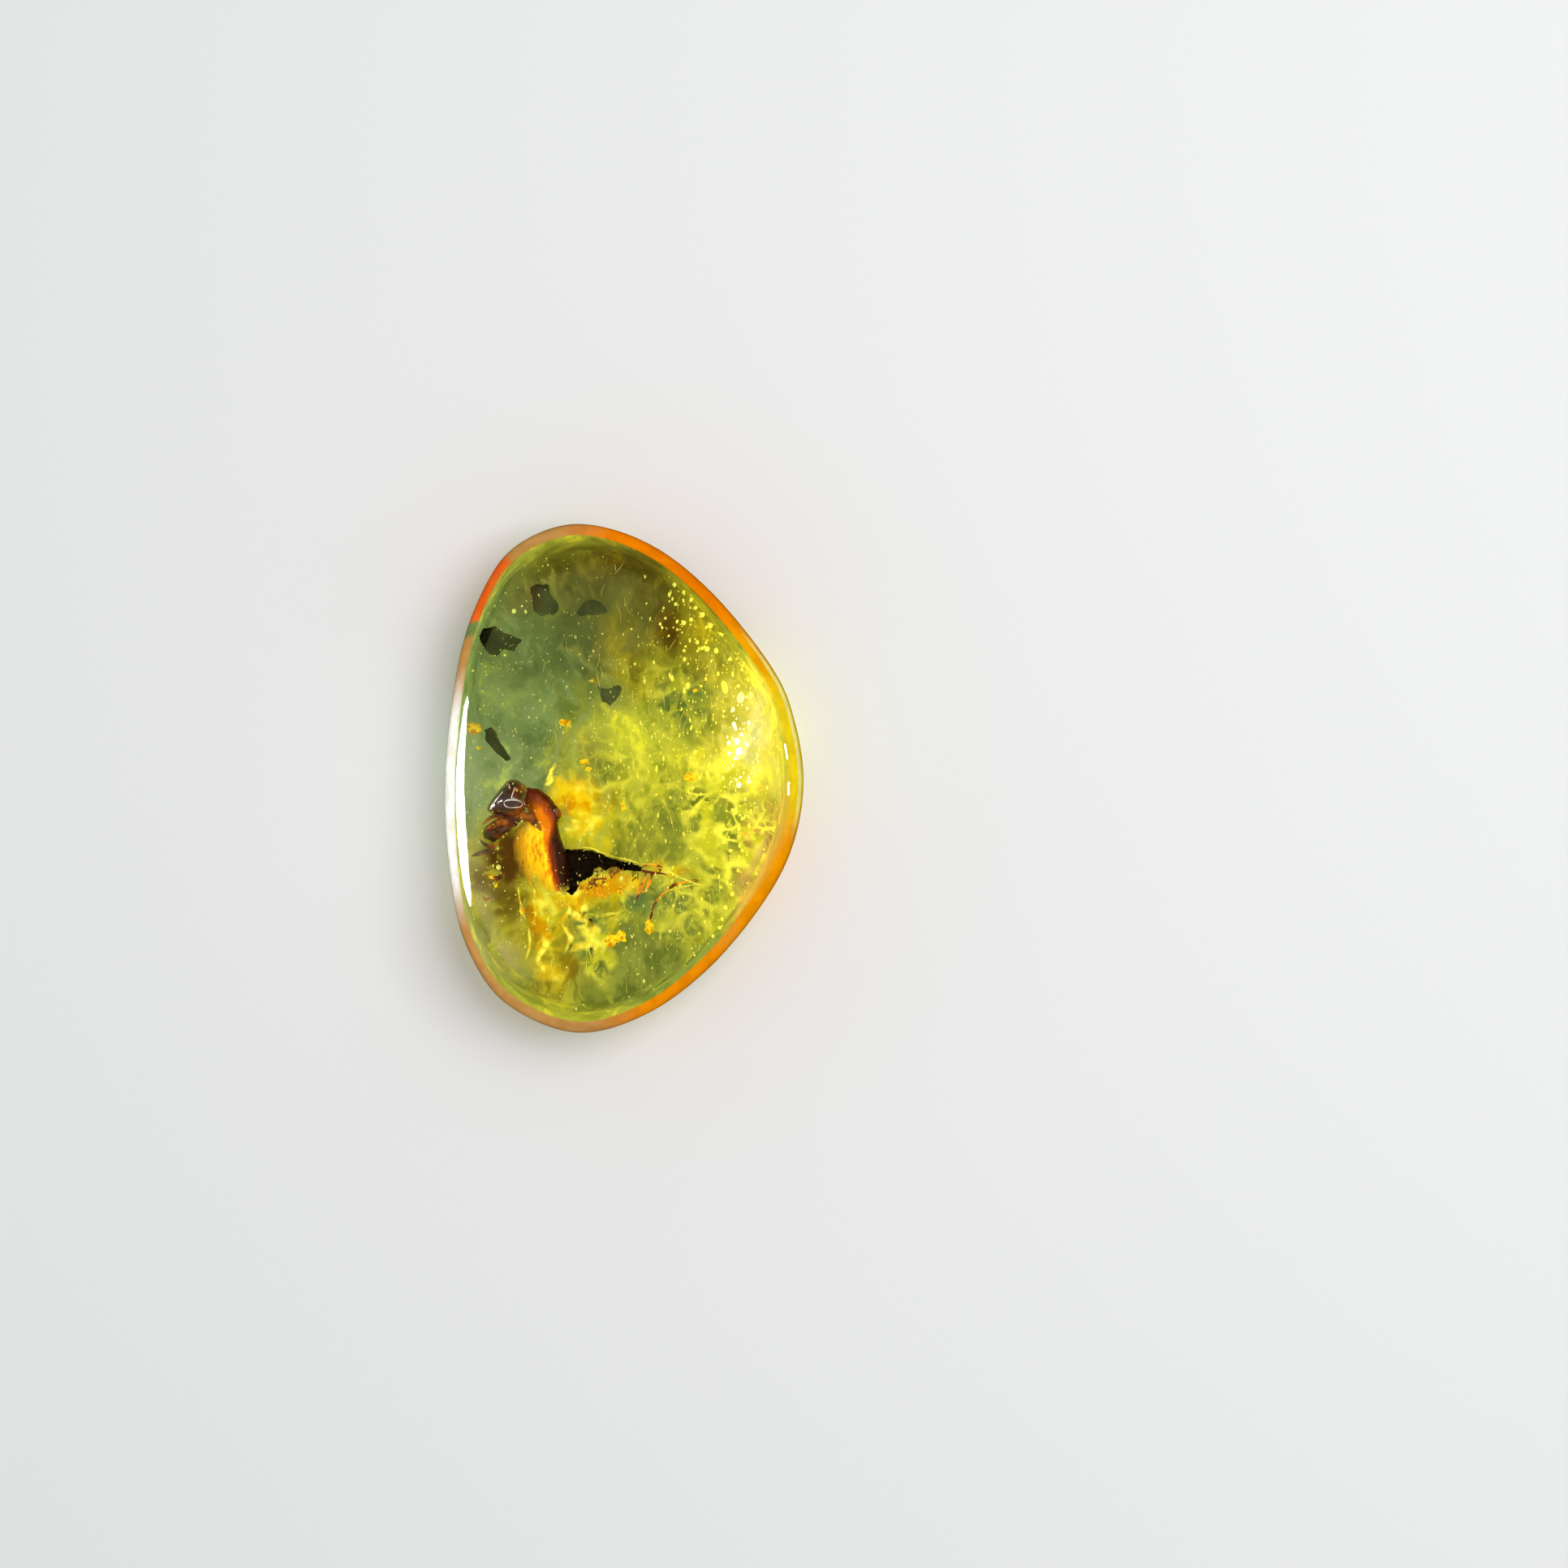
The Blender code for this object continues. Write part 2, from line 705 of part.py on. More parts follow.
def main():
    for thing in list(bpy.data.objects):
        bpy.data.objects.remove(thing)
    rooms = make_remains()
    stone = pebble_mesh("stone")
    back = half_stone("amber_back", stone, PARTING_HEIGHT - GAP / 2, False)
    front = half_stone("amber_front", stone, PARTING_HEIGHT + GAP / 2, True)
    for half in (back, front):
        for room in rooms:
            boolean(half, "DIFFERENCE", room)


main()
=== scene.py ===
# %% [markdown]
# # Polished amber with remains sealed inside
#
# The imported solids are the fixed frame: the two halves of the stone, and every crumb, fibre and husk in it.
# This lesson gives them their looks. One clear stone takes the place of the two halves, and inside it come
# the clouds, bubbles and hairs that make amber look alive.

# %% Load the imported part
import bisect
import math
import random

import bmesh
import bpy
from mathutils import Matrix, Vector, noise
from mathutils.bvhtree import BVHTree


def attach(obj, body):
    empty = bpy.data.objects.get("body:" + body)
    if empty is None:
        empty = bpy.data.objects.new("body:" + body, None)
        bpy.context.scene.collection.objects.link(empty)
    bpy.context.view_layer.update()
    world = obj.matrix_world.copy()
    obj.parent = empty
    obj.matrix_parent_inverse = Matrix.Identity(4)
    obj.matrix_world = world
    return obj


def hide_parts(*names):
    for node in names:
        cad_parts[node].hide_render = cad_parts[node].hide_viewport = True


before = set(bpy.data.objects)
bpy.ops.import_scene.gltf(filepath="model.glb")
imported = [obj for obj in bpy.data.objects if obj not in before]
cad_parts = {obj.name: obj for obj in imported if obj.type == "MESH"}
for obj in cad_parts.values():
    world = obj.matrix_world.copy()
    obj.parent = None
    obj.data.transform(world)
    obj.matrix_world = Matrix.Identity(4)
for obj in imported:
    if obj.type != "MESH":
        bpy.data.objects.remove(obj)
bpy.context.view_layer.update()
print("solids loaded:", ", ".join(sorted(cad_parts)))

# %% [markdown]
# ## Working in millimetres
#
# A stone of three centimetres is easier to think about in millimetres, while Blender's unit here is the
# metre. So every helper below takes millimetres, and the last step of each mesh scales it down once.

# %% Units and seeds
MM = 0.001
QUARTER_TURN = math.radians(90)
dice = random.Random(42)


def finished(bm, name, material, smooth=True):
    """Turns a bmesh in millimetres into an object at the origin, with its faces pointing out."""
    bmesh.ops.recalc_face_normals(bm, faces=bm.faces)
    bm.transform(Matrix.Scale(MM, 4))
    mesh = bpy.data.meshes.new(name)
    bm.to_mesh(mesh)
    bm.free()
    if smooth:
        mesh.shade_smooth()
    mesh.materials.append(material)
    piece = bpy.data.objects.new(name, mesh)
    bpy.context.scene.collection.objects.link(piece)
    print(name, "has", sum(len(p.vertices) - 2 for p in mesh.polygons), "triangles")
    return piece


# %% [markdown]
# ## Shader maths as plain sums
#
# A node tree is a sum written in boxes. The small class below wraps one socket, so that `1 - mask * 2` adds
# the Math nodes by itself. Every other node comes from `Recipe.node`, which sets the node's settings first
# and then its sockets. Colours are blended with Mix nodes, because a Math node would turn them grey.


# %% A socket that can be added, multiplied and so on
class Value:
    """One output socket of a material's tree."""

    def __init__(self, recipe, socket):
        self.recipe = recipe
        self.socket = socket

    def maths(self, operation, *values):
        return self.recipe.node("ShaderNodeMath", {"operation": operation}, dict(enumerate(values)))

    def __add__(self, other):
        return self.maths("ADD", self, other)

    def __radd__(self, other):
        return self.maths("ADD", other, self)

    def __sub__(self, other):
        return self.maths("SUBTRACT", self, other)

    def __rsub__(self, other):
        return self.maths("SUBTRACT", other, self)

    def __mul__(self, other):
        return self.maths("MULTIPLY", self, other)

    def __pow__(self, other):
        return self.maths("POWER", self, other)

    def __abs__(self):
        return self.maths("ABSOLUTE", self)


class Recipe:
    """A material that is being mixed: its tree and the ways to add to it."""

    def __init__(self, name):
        self.material = bpy.data.materials.new(name)
        self.material.use_nodes = True
        self.tree = self.material.node_tree
        self.tree.nodes.clear()

    def node(self, kind, settings=None, inputs=None, output=0):
        """Adds a node of that kind: its settings, then its socket values or links."""
        node = self.tree.nodes.new(kind)
        for key, value in (settings or {}).items():
            setattr(node, key, value)
        for key, value in (inputs or {}).items():
            if isinstance(value, Value):
                self.tree.links.new(value.socket, node.inputs[key])
            else:
                node.inputs[key].default_value = value
        return Value(self, node.outputs[output])

    def place(self):
        """The point on the piece, in millimetres."""
        metres = self.node("ShaderNodeTexCoord", output="Object")
        return self.vector("SCALE", metres, scale=1 / MM)

    def vector(self, operation, first, second=None, scale=None, output=0):
        inputs = {0: first}
        if second is not None:
            inputs[1] = second
        if scale is not None:
            inputs["Scale"] = scale
        return self.node("ShaderNodeVectorMath", {"operation": operation}, inputs, output)

    def stretched(self, point, scale, turn=0.0):
        """The point seen on a grid that is turned and stretched, so that a pattern on it is squashed."""
        inputs = {"Vector": point, "Rotation": (0, 0, math.radians(turn)), "Scale": scale}
        return self.node("ShaderNodeMapping", {"vector_type": "POINT"}, inputs)

    def noise(self, point, scale, detail=2.0, roughness=0.5, output="Fac"):
        inputs = {"Vector": point, "Scale": scale, "Detail": detail, "Roughness": roughness}
        return self.node("ShaderNodeTexNoise", {}, inputs, output)

    def ramp(self, value, low, high, bottom=0.0, top=1.0):
        """The value eased from bottom to top while it goes from low to high."""
        inputs = {"Value": value, "From Min": low, "From Max": high, "To Min": bottom, "To Max": top}
        return self.node("ShaderNodeMapRange", {"interpolation_type": "SMOOTHSTEP"}, inputs)

    def mix(self, first, second, share, blend="MIX"):
        """One colour going over into another."""
        settings = {"data_type": "RGBA", "blend_type": blend, "clamp_factor": True}
        return self.node("ShaderNodeMix", settings, {0: share, 6: first, 7: second}, 2)

    def between(self, first, second, value, low, high):
        """The first colour where the value is at low, going over into the second where it is at high."""
        return self.mix(first, second, self.ramp(value, low, high))

    def warp(self, point, scale, reach, shift=0.0):
        """The point pushed about by noise, so that soft shapes get irregular edges."""
        moved = self.vector("ADD", point, (shift, shift, shift))
        push = self.noise(moved, scale, detail=2.0, output="Color")
        centred = self.vector("SUBTRACT", push, (0.5, 0.5, 0.5))
        return self.vector("ADD", point, self.vector("SCALE", centred, scale=reach))

    def patch(self, point, centre, size, turn=0.0, soft=0.4):
        """A mask that is 1 in an oval of that centre and half size, fading out round its edge."""
        inputs = {
            "Vector": point,
            "Location": (*centre, 0),
            "Rotation": (0, 0, math.radians(turn)),
            "Scale": (*size, 1e4),
        }
        local = self.node("ShaderNodeMapping", {"vector_type": "TEXTURE"}, inputs)
        reach = self.vector("LENGTH", local, output="Value")
        return self.ramp(reach, 1 + soft, 1 - soft)

    def attribute(self, name):
        """A number that the mesh carries at each corner."""
        return self.node("ShaderNodeAttribute", {"attribute_name": name}, output="Fac")

    def bump(self, height, strength, distance):
        inputs = {"Height": height, "Strength": strength, "Distance": distance}
        return self.node("ShaderNodeBump", {}, inputs)

    def principled(self, **inputs):
        named = {key.replace("_", " "): value for key, value in inputs.items()}
        return self.node("ShaderNodeBsdfPrincipled", {}, named)

    def done(self, surface, volume=None):
        sockets = {"Surface": surface}
        if volume is not None:
            sockets["Volume"] = volume
        node = self.tree.nodes.new("ShaderNodeOutputMaterial")
        for key, value in sockets.items():
            self.tree.links.new(value.socket, node.inputs[key])
        return self.material


def rgb(red, green, blue):
    return (red, green, blue, 1.0)


# %% [markdown]
# ## The clouds' colours
#
# Cloudy amber is not one colour. Tiny bubbles scatter light in some parts and leave others clear, and the
# light that crosses the stone turns from jade over olive to gold on its way. So the clouds are described
# the way a painter would: a ground colour, then soft patches laid over it one after the other. The patches'
# edges are pushed about by noise, so that none of them shows as an oval. Each row is a colour, a centre, a
# half size, a turn in degrees, a softness and a strength. The first list colours the deep clouds, and the
# veils over them have shorter lists of the same kind.

# %% The patches of colour
GROUND = rgb(0.36, 0.38, 0.035)
CLOUDS = [
    # the cold side: jade and teal
    (rgb(0.16, 0.255, 0.08), (-6.0, 5.5), (5.0, 6.3), 0, 0.45, 0.95),
    (rgb(0.225, 0.355, 0.12), (-6.4, 2.4), (4.2, 3.2), 0, 0.5, 0.9),
    (rgb(0.34, 0.47, 0.2), (-8.2, 0.0), (2.6, 2.4), 0, 0.5, 0.9),
    (rgb(0.085, 0.145, 0.04), (-2.9, 7.6), (2.2, 2.0), 0, 0.6, 0.8),
    (rgb(0.29, 0.36, 0.06), (-2.4, 4.6), (2.4, 1.8), 0, 0.6, 0.85),
    (rgb(0.33, 0.47, 0.14), (-5.8, 4.5), (2.0, 1.1), -8, 0.6, 0.9),
    (rgb(0.43, 0.45, 0.055), (-3.2, 1.0), (1.7, 2.0), 0, 0.6, 0.8),
    (rgb(0.33, 0.35, 0.11), (-8.4, -8.0), (2.0, 4.0), 15, 0.5, 0.85),
    # the dim top: olive and brown
    (rgb(0.105, 0.095, 0.01), (1.2, 11.2), (6.0, 3.4), -12, 0.45, 0.9),
    (rgb(0.1, 0.055, 0.004), (3.4, 9.4), (2.0, 1.5), -35, 0.5, 0.95),
    (rgb(0.12, 0.08, 0.008), (-0.2, 12.6), (2.4, 1.0), 0, 0.6, 0.6),
    (rgb(0.24, 0.21, 0.01), (0.2, 7.4), (1.5, 2.8), 10, 0.6, 0.8),
    (rgb(0.46, 0.4, 0.012), (-0.3, 7.0), (0.45, 2.0), 14, 0.8, 0.8),
    (rgb(0.42, 0.39, 0.012), (0.6, 5.6), (1.5, 0.5), -18, 0.8, 0.7),
    (rgb(0.2, 0.13, 0.015), (5.0, 6.2), (0.9, 0.8), 0, 0.5, 0.7),
    # the warm middle, and at the right a painted glow of light focused through the stone
    (rgb(0.72, 0.8, 0.07), (1.6, 2.6), (3.0, 2.0), -10, 0.6, 0.9),
    (rgb(0.6, 0.63, 0.045), (2.6, -1.2), (3.4, 2.2), 0, 0.6, 0.85),
    (rgb(0.64, 0.6, 0.025), (5.2, 8.2), (1.2, 3.6), 32, 0.6, 0.6),
    (rgb(0.7, 0.69, 0.05), (6.5, 1.8), (2.4, 4.0), 8, 0.55, 0.8),
    (rgb(1.2, 1.06, 0.12), (8.2, 1.8), (1.9, 4.4), 4, 0.5, 0.95),
    (rgb(1.4, 1.34, 0.56), (7.8, 2.2), (0.8, 2.2), 4, 0.7, 0.85),
    (rgb(0.15, 0.24, 0.05), (3.9, 4.2), (1.3, 1.6), 20, 0.55, 0.95),
    # the lower right: green with yellow folds
    (rgb(0.25, 0.32, 0.05), (3.6, -3.0), (3.0, 2.0), 0, 0.6, 0.85),
    (rgb(0.34, 0.4, 0.04), (6.6, -4.2), (2.2, 3.6), -16, 0.55, 0.85),
    (rgb(0.8, 0.52, 0.09), (8.9, -5.0), (0.9, 3.2), -16, 0.5, 0.9),
    # the bottom: green pools between yellow ribbons
    (rgb(0.23, 0.29, 0.05), (1.6, -11.0), (5.4, 2.8), 0, 0.45, 0.95),
    (rgb(0.15, 0.25, 0.07), (1.5, -7.5), (2.1, 1.1), -10, 0.4, 0.95),
    (rgb(0.15, 0.24, 0.06), (-2.6, -8.9), (0.9, 2.0), 6, 0.4, 0.9),
    (rgb(0.56, 0.5, 0.012), (-0.9, -8.4), (0.8, 1.9), -12, 0.45, 0.85),
    (rgb(0.44, 0.37, 0.008), (-5.0, -8.6), (0.9, 2.4), 14, 0.5, 0.85),
    (rgb(0.33, 0.21, 0.005), (-4.3, -12.0), (1.3, 0.8), -20, 0.5, 0.85),
    # the husk's surroundings: gold at its right, smoke below it
    (rgb(0.85, 0.56, 0.005), (-2.6, -1.3), (1.8, 1.1), -10, 0.5, 0.9),
    (rgb(0.76, 0.68, 0.015), (-2.2, -2.9), (1.8, 0.9), 10, 0.55, 0.8),
    (rgb(0.68, 0.58, 0.01), (-1.6, -6.6), (2.6, 1.0), 12, 0.5, 0.8),
    (rgb(0.15, 0.09, 0.01), (-7.2, -5.6), (1.5, 2.4), 12, 0.55, 0.9),
    (rgb(0.13, 0.075, 0.008), (-6.2, -9.2), (1.0, 1.8), 20, 0.6, 0.7),
]

# The band along the rim, from the top left clockwise: a painted glow that stands for light gathered by the
# rounded edge
RIM_COLOURS = [
    # the first row is a painted highlight: white at the left, where it joins the mirror image of the left
    # lamp
    (rgb(1.1, 1.15, 1.15), (-10.4, -1.2), (1.6, 6.2), 0, 0.4, 1.0),
    (rgb(0.9, 0.16, 0.018), (-8.9, 11.6), (2.6, 3.0), 30, 0.15, 1.0),
    (rgb(0.19, 0.29, 0.09), (-9.5, 8.85), (1.6, 0.45), 0, 0.4, 1.0),
    (rgb(1.0, 0.27, 0.0), (3.6, 12.0), (6.5, 5.0), -38, 0.3, 1.0),
    (rgb(1.0, 0.46, 0.0), (8.7, 6.2), (2.4, 3.4), 30, 0.5, 1.0),
    (rgb(1.0, 0.76, 0.01), (10.4, 1.5), (1.8, 5.4), 4, 0.4, 1.0),
    (rgb(1.0, 0.38, 0.0), (9.0, -6.4), (2.6, 5.0), -28, 0.4, 1.0),
    (rgb(0.98, 0.33, 0.002), (4.2, -12.6), (5.0, 2.6), 30, 0.4, 1.0),
]
RIM_GROUND = rgb(0.62, 0.33, 0.1)

# The heights, in millimetres, at which each layer's patches are placed
BED_LEVEL = 1.8
WISP_LEVEL = 2.7
FOLD_LEVEL = 3.5
RIM_LEVEL = 4.6
HAZE_LEVEL = 4.75


# %% One function that lays them over each other
def laid_over(recipe, ground, rows, point, level):
    """The rows' patches, laid one over the other on a ground colour, for a layer at that height."""
    colour = ground
    for tint, centre, size, turn, soft, strength in rows:
        share = recipe.patch(point, seen(*centre, level).xy, size, turn, soft) * strength
        colour = recipe.mix(colour, tint, share)
    return colour


def cloud_colour(recipe, point):
    """The deep clouds' colour at a point, with darker and lighter wisps in it."""
    pushed = recipe.warp(recipe.warp(point, 0.22, 3.0), 0.9, 1.3)
    colour = laid_over(recipe, GROUND, CLOUDS, pushed, BED_LEVEL)
    grain = recipe.noise(recipe.stretched(pushed, (1.0, 0.55, 1.0)), 0.8, 4.0, 0.6)
    dark = recipe.ramp(grain, 0.5, 0.36) * 0.75
    colour = recipe.mix(colour, rgb(0.55, 0.62, 0.5), dark, "MULTIPLY")
    return recipe.mix(colour, rgb(1.75, 1.6, 1.0), recipe.ramp(grain, 0.52, 0.68), "MULTIPLY")


def cloudy(recipe, colour, alpha=1.0):
    """A cloud: most of its colour is a painted glow, which stands in for the light that crosses the stone."""
    surface = recipe.principled(
        Base_Color=recipe.mix(colour, rgb(0.3, 0.3, 0.3), 1.0, "MULTIPLY"),
        Roughness=0.8,
        Specular_IOR_Level=0.0,
        Alpha=alpha,
        Emission_Color=colour,
        Emission_Strength=0.75,
    )
    return recipe.done(surface)


def glowing(recipe, colour, glow, **inputs):
    """A sealed thing: its colour comes from the light that falls on it, and a share of it from a painted glow
    of its own colour.
    """
    inputs.update(Base_Color=colour, Emission_Color=colour, Emission_Strength=glow)
    return recipe.done(recipe.principled(**inputs))


def grained(name, dark, light, low, high, grain, glow=0.0, relief=None, **inputs):
    """Two colours mixed by noise of that scale, detail and roughness, with a painted glow of that strength,
    which may raise a relief as well.
    """
    recipe = Recipe(name)
    speckle = recipe.noise(recipe.place(), *grain)
    if relief:
        inputs["Normal"] = recipe.bump(speckle, *relief)
    return glowing(recipe, recipe.between(dark, light, speckle, low, high), glow, **inputs)


# %% [markdown]
# ## The stone's own shape
#
# The outline and the profile are those of the solids: an even loop of points, extruded ring by ring up to the
# top of the dome and down to the flat back. The looks need far more rings than the solids have, because a
# clear stone is a lens: each flat face of a coarse one would show as a step in what lies behind it.

# %% The outline and the profile
WIDTH = 21.5
LENGTH = 30.5
THICKNESS = 8.0
GIRDLE_HEIGHT = 3.1
OUTLINE = [
    (1.0, -0.02),
    (0.955, 0.215),
    (0.83, 0.43),
    (0.49, 0.73),
    (0.13, 0.925),
    (-0.265, 1.0),
    (-0.6, 0.915),
    (-0.79, 0.735),
    (-0.925, 0.45),
    (-1.0, 0.0),
    (-0.965, -0.42),
    (-0.86, -0.69),
    (-0.65, -0.89),
    (-0.265, -1.0),
    (0.13, -0.925),
    (0.49, -0.735),
    (0.79, -0.475),
    (0.945, -0.255),
]
SEGMENTS = 288
APEX = Vector((-0.6, -0.5, 0))
DOME_SIDE_POWER = 2.5
DOME_TOP_POWER = 3.4
EDGE_POWER = 2.2
BACK_SHARE = 0.74
SWELL = 0.1
REFRACTION = 1.54


def spline_point(points, i, t, closed):
    """The point a share t of the way from point i to the next, on a smooth curve through all of them."""
    count = len(points)
    near = [(i + k) % count if closed else min(max(i + k, 0), count - 1) for k in (-1, 0, 1, 2)]
    before, start, end, after = (Vector(points[n]) for n in near)
    return 0.5 * (
        2 * start
        + (end - before) * t
        + (2 * before - 5 * start + 4 * end - after) * t**2
        + (3 * start - before - 3 * end + after) * t**3
    )


def girdle_points(count):
    """The stone's widest outline in even steps, centred and exactly as wide and long as the stone."""
    corners = [(x * WIDTH / 2, y * LENGTH / 2) for x, y in OUTLINE]
    dense = [spline_point(corners, i, k / 48, True) for i in range(len(corners)) for k in range(48)]
    reach = [0.0]
    for a, b in zip(dense, dense[1:] + dense[:1]):
        reach.append(reach[-1] + (b - a).length)
    even = []
    piece = 0
    for i in range(count):
        target = reach[-1] * i / count
        while reach[piece + 1] < target:
            piece += 1
        share = (target - reach[piece]) / (reach[piece + 1] - reach[piece])
        even.append(dense[piece].lerp(dense[(piece + 1) % len(dense)], share))
    low = Vector((min(p.x for p in even), min(p.y for p in even)))
    high = Vector((max(p.x for p in even), max(p.y for p in even)))
    middle = (low + high) / 2
    fit = (WIDTH / (high.x - low.x), LENGTH / (high.y - low.y))
    return [Vector(((p.x - middle.x) * fit[0], (p.y - middle.y) * fit[1], 0)) for p in even]


GIRDLE = girdle_points(SEGMENTS)


def dome_height(spot, share):
    """The dome's height over a spot that lies at that share of the way from the top out to the girdle."""
    swell = SWELL * math.sin(0.33 * spot.x + 0.7) * math.cos(0.24 * spot.y - 0.9)
    rise = max(0.0, 1 - share**DOME_SIDE_POWER) ** (1 / DOME_TOP_POWER)
    return GIRDLE_HEIGHT + (THICKNESS - SWELL - GIRDLE_HEIGHT + swell) * rise


def bearing(spot):
    """The direction of a spot from the top of the dome, counted from the first point of the girdle."""
    way = spot - APEX
    first = GIRDLE[0] - APEX
    return (math.atan2(way.y, way.x) - math.atan2(first.y, first.x)) % math.tau


BEARINGS = [bearing(point) for point in GIRDLE]


def reach_of(spot):
    """How far out a spot lies: 0 at the top of the dome, 1 on the girdle."""
    way = (spot - APEX).xy
    i = bisect.bisect_right(BEARINGS, bearing(spot)) - 1
    start, end = (GIRDLE[i] - APEX).xy, (GIRDLE[(i + 1) % SEGMENTS] - APEX).xy
    return way.cross(end - start) / start.cross(end - start)


def roof(spot):
    return dome_height(spot, min(1.0, reach_of(spot)))


# %% [markdown]
# The dome bends light, so a crumb inside shows a little further out than it lies. Every place below is
# written as one sees it from above, and this function follows the bent sight line down to the true place,
# by the law of refraction.


# %% From where a thing shows to where it lies
STEP = 0.05
STEP_X = Vector((STEP, 0, 0))
STEP_Y = Vector((0, STEP, 0))


def seen(x, y, z=4.2):
    """The true place of something at height z that the dome shows at x and y."""
    spot = Vector((x, y, z))
    fall = [(roof(spot - way) - roof(spot + way)) / (2 * STEP) for way in (STEP_X, STEP_Y)]
    normal = Vector((*fall, 1)).normalized()
    bend = 1 / REFRACTION
    along = bend * normal.z - math.sqrt(1 - bend**2 * (1 - normal.z**2))
    ray = normal * along - Vector((0, 0, bend))
    return spot.xy.to_3d() + ray.xy.to_3d() * (roof(spot) - z) / -ray.z + Vector((0, 0, z))


print("a crumb seen at 8.0 lies at", round(seen(8.0, 0.0).x, 2))

# %% [markdown]
# A body of rings starts as one circle of edges at the waist. Each new ring is those edges extruded once
# more and moved to its place, and the last ring is drawn together into a point. Every point remembers its
# share of the way out in an attribute, and a material can read it later to find the rim.


# %% Bodies made of rings
def ring_body(name, waist, upper, lower, material, segments=SEGMENTS):
    """A closed body round the stone's axis, from its waist up and down.

    Each ring is a share of the way out to the girdle, or a function that works it out from the length of that
    way, and a function for its height. Every corner stores how many millimetres inside the outline it lies.
    """
    girdle = girdle_points(segments)
    bm = bmesh.new()
    spoke = bm.verts.layers.int.new("spoke")
    inset = bm.verts.layers.float.new("inset")

    def put(verts, where, height):
        for vert in verts:
            way = (girdle[vert[spoke]] - APEX).length
            share = where(way) if callable(where) else where
            spot = girdle[vert[spoke]] * share + APEX * (1 - share)
            vert.co = Vector((spot.x, spot.y, height(spot, share, way)))
            vert[inset] = (1 - share) * way

    circle = bmesh.ops.create_circle(bm, segments=segments, radius=1)["verts"]
    for i, vert in enumerate(circle):
        vert[spoke] = i
    put(circle, *waist)
    waist_edges = list(bm.edges)
    for rings in (upper, lower):
        edges = waist_edges
        for where, height in rings:
            grown = bmesh.ops.extrude_edge_only(bm, edges=edges)["geom"]
            verts = {g for g in grown if isinstance(g, bmesh.types.BMVert)}
            put(verts, where, height)
            edges = [g for g in grown if isinstance(g, bmesh.types.BMEdge) and verts.issuperset(g.verts)]
        tip = list({v for e in edges for v in e.verts})
        bmesh.ops.remove_doubles(bm, verts=tip, dist=0.01)
    return finished(bm, name, material)


# %% [markdown]
# ## The clear amber
#
# Amber bends light with an index of 1.54. It is polished, so its surface is nearly smooth, with the faint
# waves that hand polishing leaves. Its warm colour comes from absorption: blue light dies out first on its
# way through, which makes thick parts deeper in colour than thin ones.


# %% The clear material
ABSORPTION = 60.0


def clear_amber():
    recipe = Recipe("clear_amber")
    point = recipe.place()
    wave = recipe.noise(point, 0.55, 2.0)
    scuff = recipe.noise(recipe.stretched(point, (1.0, 6.0, 1.0), 35), 2.5, 4.0, 0.7)
    surface = recipe.principled(
        Base_Color=rgb(1.0, 0.97, 0.86),
        Roughness=recipe.ramp(scuff, 0.45, 0.75, 0.0, 0.04),
        IOR=REFRACTION,
        Transmission_Weight=1.0,
        Normal=recipe.bump(wave, 0.05, 0.0004),
    )
    depth = {"Color": rgb(1.0, 0.86, 0.35), "Density": ABSORPTION}
    return recipe.done(surface, recipe.node("ShaderNodeVolumeAbsorption", {}, depth))


# %% The clear stone, in place of the two halves
def dome_rings(count):
    rings = []
    for i in range(1, count + 1):
        share = math.cos(QUARTER_TURN * i / count) ** (2 / DOME_SIDE_POWER) if i < count else 0.0
        rings.append((share, lambda spot, share, way: dome_height(spot, share)))
    return rings


def edge_rings(count):
    rings = []
    for i in range(1, count + 1):
        angle = QUARTER_TURN * i / count
        share = BACK_SHARE + (1 - BACK_SHARE) * max(0.0, math.cos(angle)) ** (2 / EDGE_POWER)
        height = GIRDLE_HEIGHT * (1 - math.sin(angle) ** (2 / EDGE_POWER))
        rings.append((share, lambda spot, share, way, height=height: height))
    return rings


flat_back = [(share, lambda spot, share, way: 0.0) for share in (0.6, 0.4, 0.2, 0.0)]
amber_body = ring_body(
    "amber_body",
    (1.0, lambda spot, share, way: GIRDLE_HEIGHT),
    dome_rings(56),
    edge_rings(18) + flat_back,
    clear_amber(),
)
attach(amber_body, "root")
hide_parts("amber_back", "amber_front")

# %% [markdown]
# ## The deep clouds
#
# Behind everything lies the thick cloud that gives the stone its body. It is a bowl: low in the middle, and
# rising along the inside of the flank to a crest, which carries a painted orange band that stands for the
# light the rounded edge of the stone gathers. Its colour comes from the patches above, and part of it from a
# painted glow, which stands for the light that crosses cloudy amber and seems to come from inside it.

# %% The deep clouds' shape
BED_HEIGHT = 1.5
CREST_INSET = 0.78
WAIST_INSET = 0.12
VALLEY_INSET = 3.0
LIFT = 0.96
BED_FLOOR = 0.25
FLANK_INSETS = (0.13, 0.15, 0.18, 0.22, 0.28, 0.36, 0.45, 0.55, 0.66, 0.78)
STEEP_INSETS = (0.86, 0.96, 1.08, 1.22, 1.4, 1.62, 1.88, 2.2, 2.58, 3.0)


def under_dome(spot, share, way):
    """A height just inside the dome's flank."""
    outer = min(1.0, share + WAIST_INSET / way)
    return GIRDLE_HEIGHT + (dome_height(spot, outer) - GIRDLE_HEIGHT) * LIFT


def bowl(spot, share, way):
    """The height of the bowl's inside, which falls from the crest to the uneven bed."""
    inset = (1 - share) * way
    slope = min(1.0, max(0.0, (VALLEY_INSET - inset) / (VALLEY_INSET - CREST_INSET)))
    blend = slope * slope * (3 - 2 * slope)
    bed = BED_HEIGHT + 0.35 * noise.noise(Vector((spot.x * 0.35, spot.y * 0.35, 3.0)))
    return bed + (under_dome(spot, 1 - CREST_INSET / way, way) - bed) * blend


def at_inset(inset):
    return lambda way: 1 - inset / way


